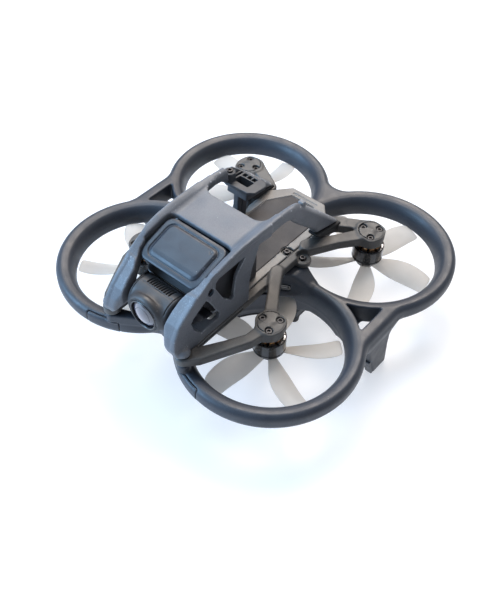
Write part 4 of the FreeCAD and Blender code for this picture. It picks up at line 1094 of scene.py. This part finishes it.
# Place (x, y) and the radii at the top and at the tip of each foot.
BELLY_FEET = ((27.2, 0, 3.4, 2.6), (-27.2, 0, 3.4, 2.6), (0, 30.5, 3.0, 2.4), (0, -30.5, 3.0, 2.4))


def build_body():
    """Lower shell with its vents, the belly plate, feet, sensor eyes and the link button."""
    f = Field((-33.2, -37, 7.8), (33.2, 37, 45.4), 0.5)
    upper = both(star(f, 20.3, 35.8, 38.7), slab(f.z, 12.0, 44.4), 0.8)
    lower = both(star(f, 32.0, 35.8, 38.7), slab(f.z, 9.05, 13.8), 0.8)
    shape = join(upper, lower, 1.0)
    room = star(f, 19.1, 34.6, 39.9)
    shape = without(shape, room, 0.2)
    diagonal = (np.abs(f.x) + np.abs(f.y)) / math.sqrt(2)
    across = (np.abs(f.x) - np.abs(f.y)) / math.sqrt(2)
    for level in range(4):
        z = 24.0 + 4.0 * level
        slot = both(both(slab(diagonal, 15, 28), np.abs(across) - 6.5, 0.5), slab(f.z, z, z + 1.4), 0.5)
        shape = without(shape, slot, 0.25)
    ax = np.abs(f.x)
    shape = without(shape, both(both(15.0 - ax, slab(f.y, -1.8, 4.6)), 40.8 - f.z), 0.2)
    shape = without(shape, port_pocket(f), 0.2)
    add_skin("body_shell", f, shape, GUARD_PLASTIC, slot="guard_plastic", stands_for=("lower_shell",))
    f = Field((-33, -37, 7.0), (33, 37, 9.6), 0.4)
    plate = both(star(f, 32.0, 35.8, 38.7), slab(f.z, 7.6, 9.0), 0.6)
    for y in (-2.8, 0.0, 2.8):
        plate = without(plate, both(np.abs(f.x) - 8.0, np.abs(f.y - y) - 0.7, 0.6), 0.2)
    for y in (-22, 22):
        plate = without(plate, circle(f.x, f.y, 0, y, 3.1), 0.3)
    plate = without(plate, circle(f.x, f.y, 0, -13, 2.0), 0.2)
    add_skin("belly_plate", f, plate, DARK_PLASTIC, slot="dark_plastic", stands_for=("belly_cover",))
    feet = []
    for x, y, top, tip in BELLY_FEET:
        outline = eased([(0, 0), (tip, 0), (top, 7.6), (0, 7.6)], 0.9, 8)
        feet.append(lathe("foot", outline, (x, y, 0)))
    add_set("belly_foot_set", feet, RUBBER, slot="rubber", stands_for=("belly_feet",))
    lenses = []
    for y in (-22, 22):
        outline = eased([(0, 8.8), (1.9, 8.5), (2.1, 7.9), (2.9, 7.9), (2.9, 12.5), (0, 12.5)], 0.2)
        lenses.append(lathe("eye", outline, (0, y, 0)))
    add_set("belly_sensor_eyes", lenses, LENS_GLASS, slot="lens_trim", stands_for=("down_sensors",))
    knob = eased([(0, 7.8), (1.7, 7.8), (1.7, 9.3), (2.6, 9.3), (2.6, 10.0), (0, 10.0)], 0.25)
    add_turned("link_button_cap", knob, (0, -13, 0), DARK_PLASTIC, body="button", slot="dark_plastic",
               stands_for=("link_button",))


SOCKET = (-16.0, 6.6, 72.0)


def socket_space(f):
    """Place of each point seen from the socket's sloping top face."""
    tilt = math.radians(6.0)
    y = (f.y - SOCKET[1]) * math.cos(tilt) - (f.z - SOCKET[2]) * math.sin(tilt)
    z = (f.y - SOCKET[1]) * math.sin(tilt) + (f.z - SOCKET[2]) * math.cos(tilt)
    return f.x - SOCKET[0], y, z


def socket_flange(f):
    """Thin plate round the socket's mouth, and the screwed lug at the rail."""
    x, y, z = socket_space(f)
    outline = [(-6.9, -8.0), (-4.5, -9.2), (8.6, -8.6), (11.6, -5.6), (11.8, 2.8), (9.6, 5.8), (-6.9, 5.8)]
    plate = both(polygon(x, y, outline), slab(z, -1.8, 0.1), 0.4)
    lug_x, lug_y, top = SOCKET_SCREW
    lug = both(circle(f.x, f.y, lug_x, lug_y, 3.3), slab(f.z, 71.0, top - 0.9), 0.7)
    return join(plate, lug, 0.6)


def build_socket():
    """Battery socket on its pillar, with a recess, three contact openings and a key."""
    f = Field((-25.6, -4.4, 62.0), (-0.8, 14.6, 79.0), 0.25)
    x, y, z = socket_space(f)
    shape = both(both(np.abs(x) - 6.7, np.abs(y) - 5.5, 0.7), slab(z, -8.0, 0.0), 0.35)
    shape = join(shape, socket_flange(f), 0.3)
    recess = both(both(slab(x, -3.4, 5.8), slab(y, -4.6, 0.7), 0.5), -5.5 - z)
    shape = without(shape, recess, 0.2)
    shape = without(shape, both(both(slab(x, -5.7, -4.4), slab(y, -4.5, 4.5), 0.3), -5.5 - z), 0.2)
    for i in range(3):
        left = -3.2 + 3.1 * i
        shape = without(shape, both(both(slab(x, left, left + 2.4), slab(y, 1.6, 4.4), 0.25), -6.6 - z), 0.15)
    key = both(both(slab(x, 0.2, 1.6), slab(y, -4.7, -3.9)), slab(z, -5.6, -1.2))
    shape = join(shape, key, 0.2)
    add_skin("battery_socket", f, shape, SOCKET_PLASTIC, slot="dark_plastic", stands_for=("power_socket",))
    f = Field((-21.2, 0, 45.6), (-15.2, 12.4, 66.2), 0.3)
    leg = polygon(f.y, f.z, [(1.5, 46.05), (9.0, 46.05), (11.0, 65.0), (2.6, 65.0)])
    leg = both(both(leg, slab(f.x, -20.0, -16.4), 0.7), (f.z - 63.9), 0.2)
    leg = without(leg, both(slab(f.y, 5.0, 5.7), -17.2 - f.x), 0.1)
    add_skin("socket_pillar", f, leg, SOCKET_PLASTIC, slot="dark_plastic", stands_for=("socket_stand",))
    paint("socket_contacts", CONTACT)


# ---- screws ----
def screw_mesh(name, head_z, shank_bottom):
    """Button-head socket screw on the Z axis."""
    f = Field((-2.2, -2.2, head_z - 1.4), (2.2, 2.2, head_z + 0.4), 0.085)
    reach = circle(f.x, f.y, 0, 0, 0)
    head = both(reach - 1.8, slab(f.z, head_z - 1.0, head_z), 0.45)
    crossing = None
    for i in range(3):
        a = math.radians(60 * i)
        flat = np.abs(f.x * math.cos(a) + f.y * math.sin(a)) - 0.78
        crossing = flat if crossing is None else np.maximum(crossing, flat)
    head = without(head, both(crossing, head_z - 0.75 - f.z), 0.08)
    top = skin(f, head, name)
    shank = lathe(name + "_shank", eased([(0, head_z - 1.0), (0.85, head_z - 1.0), (0.85, shank_bottom),
                                          (0, shank_bottom)], 0.15), (0, 0, 0), "z", 24)
    return merged(name, [top, shank])


def build_screws():
    """Three screws on each motor disc, and those of the guard, deck and rail."""
    motor = screw_mesh("motor_screw", 46.3, 39.6)
    for rotor in ROTORS:
        meshes = []
        axis = ROTOR_AXIS[rotor]
        for i, turn in enumerate((60, 180, 300)):
            a = math.radians(turn if axis.x > 0 else 180 - turn)
            place = Matrix.Translation((axis.x * MM + SCREW_CIRCLE * MM * math.cos(a),
                                        axis.y * MM + SCREW_CIRCLE * MM * math.sin(a), 0))
            meshes.append(moved(motor, place @ Matrix.Rotation(random.uniform(0, 1), 4, "Z")))
        add_set("motor_screw_set_" + rotor, meshes, SCREW_STEEL, slot="screw_steel",
                stands_for=("motor_screws",))
    for name, node, x, y, z in (("guard_screw_set", "guard_screws", 25.6, 5.0, 44.0),
                                ("deck_screw_set", "deck_screws", 17.9, 1.4, 46.0)):
        screw = screw_mesh(name, z, z - 6.0)
        pair = [moved(screw, Matrix.Translation((side * x * MM, y * MM, 0))) for side in (-1, 1)]
        add_set(name, pair, SCREW_STEEL, slot="screw_steel", stands_for=(node,))
    x, y, z = SOCKET_SCREW
    screw = screw_mesh("rail_screw", z, z - 4.0)
    screw = moved(screw, Matrix.Translation((x * MM, y * MM, 0)))
    add_piece("rail_screw", screw, SCREW_STEEL, slot="screw_steel")


# ---- motors and propellers ----
BELL_RADIUS = 8.4


def coil_mesh():
    """One wound tooth: racetrack turns of wire round a radial tooth, in millimetres on the +X side."""
    wire = 0.26
    loops = []
    for layer, turns in ((0, 3), (1, 3)):
        for i in range(turns):
            x = 4.95 + i * 0.52
            half_y, half_z = 0.72 + layer * 0.46, 3.35 + layer * 0.46
            loops.append((x, half_y, half_z))
    points = []
    faces = []
    rim = 36
    around = 8
    for x, half_y, half_z in loops:
        start = len(points)
        for i in range(rim):
            a = 2 * math.pi * i / rim
            straight = half_z - half_y
            cy, cz = half_y * math.cos(a), half_y * math.sin(a)
            cz += math.copysign(straight, math.sin(a)) if abs(math.sin(a)) > 1e-6 else 0
            for j in range(around):
                b = 2 * math.pi * j / around
                out = wire * math.cos(b)
                points.append((x + wire * math.sin(b), cy + out * math.cos(a), cz + out * math.sin(a)))
        for i in range(rim):
            for j in range(around):
                k, m = (i + 1) % rim, (j + 1) % around
                faces.append((start + i * around + j, start + k * around + j, start + k * around + m,
                              start + i * around + m))
    return build_mesh("coil", np.array(points) * MM, np.array(faces))


def build_motor(rotor, coil):
    """Bell that turns, and nine wound teeth that don't."""
    axis = ROTOR_AXIS[rotor]
    centre = (axis.x, axis.y, 0)
    r = BELL_RADIUS
    can = [
        (2.0, 28.1), (r - 2.2, 28.0), (r - 0.5, 28.2), (r, 28.9), (r, 29.9), (r - 0.22, 30.1),
        (r - 0.22, 30.5), (r, 30.7), (r, 36.9), (r - 0.1, 37.35), (r - 0.35, 37.6), (r - 0.7, 37.5),
        (r - 0.7, 29.7), (2.0, 29.6), (2.0, 28.1),
    ]
    bell = lathe("motor_bell_" + rotor, eased(can, 0.25), centre, "z", 128)
    add_piece("motor_bell_" + rotor, bell, BELL_METAL, body="rotor_" + rotor, slot="bell_metal",
              stands_for=("bell_" + rotor,))
    coils = []
    for i in range(9):
        turn = Matrix.Rotation(math.radians(40 * i), 4, "Z")
        coils.append(moved(coil, Matrix.Translation((axis.x * MM, axis.y * MM, 34.9 * MM)) @ turn))
    add_set("motor_coils_" + rotor, coils, COPPER, slot="copper", stands_for=("motor_windings",))
    paint("magnets_" + rotor, MAGNET)
    paint("shaft_" + rotor, STEEL)


BLADE_RADII = (4.2, 6, 9, 12, 16, 20, 24, 28, 31, 33.4, 34.9, 35.7, 36.15, 36.38, 36.4)
BLADE_CHORDS = (5.2, 6.0, 7.7, 9.5, 11.6, 12.8, 13.2, 13.0, 12.6, 12.1, 11.5, 10.7, 9.4, 7.2, 5.6)
BLADE_COUNT = 5
REST_TURN = {"front_left": 41.0, "rear_left": 9.5, "rear_right": 12.0, "front_right": 4.0}


def blade_mesh(hand):
    """One cambered paddle blade along +X, in millimetres about the rotor axis."""
    radii = []
    for a, b in zip(BLADE_RADII[:-1], BLADE_RADII[1:]):
        steps = max(1, int(round((b - a) / 0.8)))
        radii += [a + (b - a) * i / steps for i in range(steps)]
    radii.append(BLADE_RADII[-1])
    side = 20
    points = []
    for radius in radii:
        t = (radius - BLADE_RADII[0]) / (BLADE_RADII[-1] - BLADE_RADII[0])
        chord = float(np.interp(radius, BLADE_RADII, BLADE_CHORDS))
        pitch = math.radians(34.0 - 23.0 * t ** 0.8)
        thick = 1.5 - 0.95 * t
        sweep = math.radians(4.0 * math.sin(math.pi * t) - 3.0 * t)
        thick *= min(1.0, chord / 4)
        for i in range(2 * side):
            a = math.pi * i / side
            along = -0.5 * math.cos(a)
            fat = 0.5 * thick * abs(math.sin(a)) ** 0.8 * (1 - 0.5 * along)
            rise = (fat if i <= side else -fat) + chord * 0.055 * (1 - 4 * along * along)
            across = along * chord
            y = across * math.cos(pitch) - rise * math.sin(pitch)
            z = across * math.sin(pitch) + rise * math.cos(pitch)
            points.append((radius * math.cos(sweep) - y * math.sin(sweep),
                           (radius * math.sin(sweep) + y * math.cos(sweep)) * hand, min(z, 3.4)))
    count = 2 * side
    faces = []
    for i in range(len(radii) - 1):
        for j in range(count):
            k = (j + 1) % count
            faces.append((i * count + j, i * count + k, (i + 1) * count + k, (i + 1) * count + j))
    for end in (0, len(radii) - 1):
        base = end * count
        for i in range(side - 1):
            faces.append((base + i + 1, base + i, base + (count - i) % count, base + count - i - 1))
    mesh = build_mesh("blade", np.array(points) * MM, np.array(faces))
    weld(mesh, 1e-6)
    return mesh


def build_propeller(rotor):
    """Five blades and a hub, all turning with the rotor."""
    axis = ROTOR_AXIS[rotor]
    hand = -1 if axis.x * axis.y < 0 else 1
    blade = blade_mesh(hand)
    blades = []
    for i in range(BLADE_COUNT):
        turn = math.radians(REST_TURN[rotor] + 360 / BLADE_COUNT * i)
        place = Matrix.Translation((axis.x * MM, axis.y * MM, 25.6 * MM)) @ Matrix.Rotation(turn, 4, "Z")
        blades.append(moved(blade, place))
    body = "rotor_" + rotor
    add_set("blade_set_" + rotor, blades, PROPELLER_PLASTIC, body=body, slot="propeller_plastic",
            stands_for=("propeller_" + rotor,))
    name = "propeller_hub_" + rotor
    hub = [(1.5, 24.0), (4.6, 24.0), (5.6, 24.6), (6.2, 26.6), (6.2, 27.9), (1.5, 27.9), (1.5, 24.0)]
    add_turned(name, eased(hub, 0.4), (axis.x, axis.y, 0), DARK_PLASTIC, body=body, slot="dark_plastic",
               stands_for=("propeller_" + rotor,))


# ---- trim and small parts ----
def build_trim():
    """Dampers under the frame tips, and materials for the CAD nodes that are kept as they are."""
    dampers = []
    washer = [(1.2, 39.95), (2.5, 39.95), (2.9, 40.2), (2.9, 40.7), (2.5, 40.95), (1.2, 40.95), (1.2, 39.95)]
    for side in (-1, 1):
        dampers.append(lathe("damper", eased(washer, 0.2), (side * TIP[0], TIP[1], 0)))
    add_set("tip_damper_set", dampers, RUBBER, slot="rubber", stands_for=("tip_dampers",))
    for node, material in (("leg_pads", GUARD_PLASTIC), ("main_board", BOARD),
                           ("esc_board", BOARD), ("heat_sink", ALUMINIUM), ("fan_housing", DARK_PLASTIC),
                           ("fan_rotor", DARK_PLASTIC), ("usb_port", STEEL), ("card_slot", STEEL),
                           ("receiver_module", DARK_PLASTIC), ("motor_bases", ARM_CASTING),
                           ("motor_stators", LAMINATE), ("motor_bearings", STEEL)):
        paint(node, material)


# ---- floor, camera and lights ----
def build_stage():
    """Pale floor under the drone."""
    size = 3.0
    corners = [(-size, -size, 0), (size, -size, 0), (size, size, 0), (-size, size, 0)]
    mesh = build_mesh("floor", np.array(corners), np.array([(0, 1, 2, 3)]))
    n = Nodes("floor_white")
    cloud = n.noise(180.0, 3, 0.5)
    n.feed(n.shader, "Base Color", n.blend(cloud, (0.44, 0.45, 0.47), (0.48, 0.48, 0.49)))
    n.feed(n.shader, "Emission Color", n.blend(cloud, (0.90, 0.95, 1.0), (0.95, 0.95, 1.0)))
    n.shader.inputs["Emission Strength"].default_value = 0.60
    n.feed(n.shader, "Roughness", n.span(n.noise(40.0, 3, 0.5), 0.3, 0.7, 0.5, 0.65))
    mesh.materials.append(n.material)
    floor = object_from(mesh, "floor")


def build_camera_view():
    """View from the front left, above, rolled a little."""
    back = Vector((0.4204, -0.5202, 0.7434)).normalized()
    right = Vector((0, 0, 1)).cross(back).normalized()
    up = back.cross(right)
    roll = math.radians(1.7205)
    across = math.cos(roll) * right + math.sin(roll) * up
    rise = -math.sin(roll) * right + math.cos(roll) * up
    place = Vector((0.1860, -0.2376, 0.3311))
    data = bpy.data.cameras.new("view")
    data.lens = 47.06
    data.sensor_width = 36.0
    data.clip_start = 0.01
    data.clip_end = 20.0
    camera = bpy.data.objects.new("view", data)
    camera.matrix_world = Matrix((
        (across.x, rise.x, back.x, place.x),
        (across.y, rise.y, back.y, place.y),
        (across.z, rise.z, back.z, place.z),
        (0, 0, 0, 1),
    ))
    bpy.context.scene.collection.objects.link(camera)
    bpy.context.scene.camera = camera


def area_light(name, place, target, size, power, colour):
    """Soft rectangular light turned towards target."""
    data = bpy.data.lights.new(name, "AREA")
    data.shape = "RECTANGLE"
    data.size = size[0]
    data.size_y = size[1]
    data.energy = power
    data.color = colour
    light = bpy.data.objects.new(name, data)
    light.location = place
    light.rotation_euler = (Vector(target) - Vector(place)).to_track_quat("-Z", "Y").to_euler()
    bpy.context.scene.collection.objects.link(light)


def build_lights():
    """Dim sky, a warm key from behind, a cool light from the front and a soft one above."""
    world = bpy.data.worlds.new("studio")
    bpy.context.scene.world = world
    world.use_nodes = True
    background = world.node_tree.nodes["Background"]
    background.inputs["Color"].default_value = (0.80, 0.88, 1.0, 1.0)
    background.inputs["Strength"].default_value = 0.36
    area_light("warm_key", (-0.32, 0.62, 1.00), (0, 0, 0.03), (0.75, 0.75), 18.0, (1.0, 0.89, 0.79))
    area_light("cool_side", (-0.76, -0.86, 0.56), (0, -0.02, 0.03), (0.8, 0.6), 22.0, (0.38, 0.66, 1.0))
    area_light("soft_top", (-0.48, -0.12, 0.95), (0, 0, 0.03), (0.55, 0.55), 6.0, (0.50, 0.74, 1.0))
    view = bpy.context.scene.view_settings
    view.view_transform = "Standard"
    view.look = "None"
    view.exposure = 0.0


def main():
    build_camera_view()
    build_stage()
    build_lights()
    build_guard()
    build_frame()
    build_boots()
    build_arms()
    build_head()
    build_lid()
    build_camera()
    build_bracket()
    build_deck()
    build_body()
    build_socket()
    build_screws()
    coil = coil_mesh()
    for rotor in ROTORS:
        build_motor(rotor, coil)
        build_propeller(rotor)
    build_trim()


main()
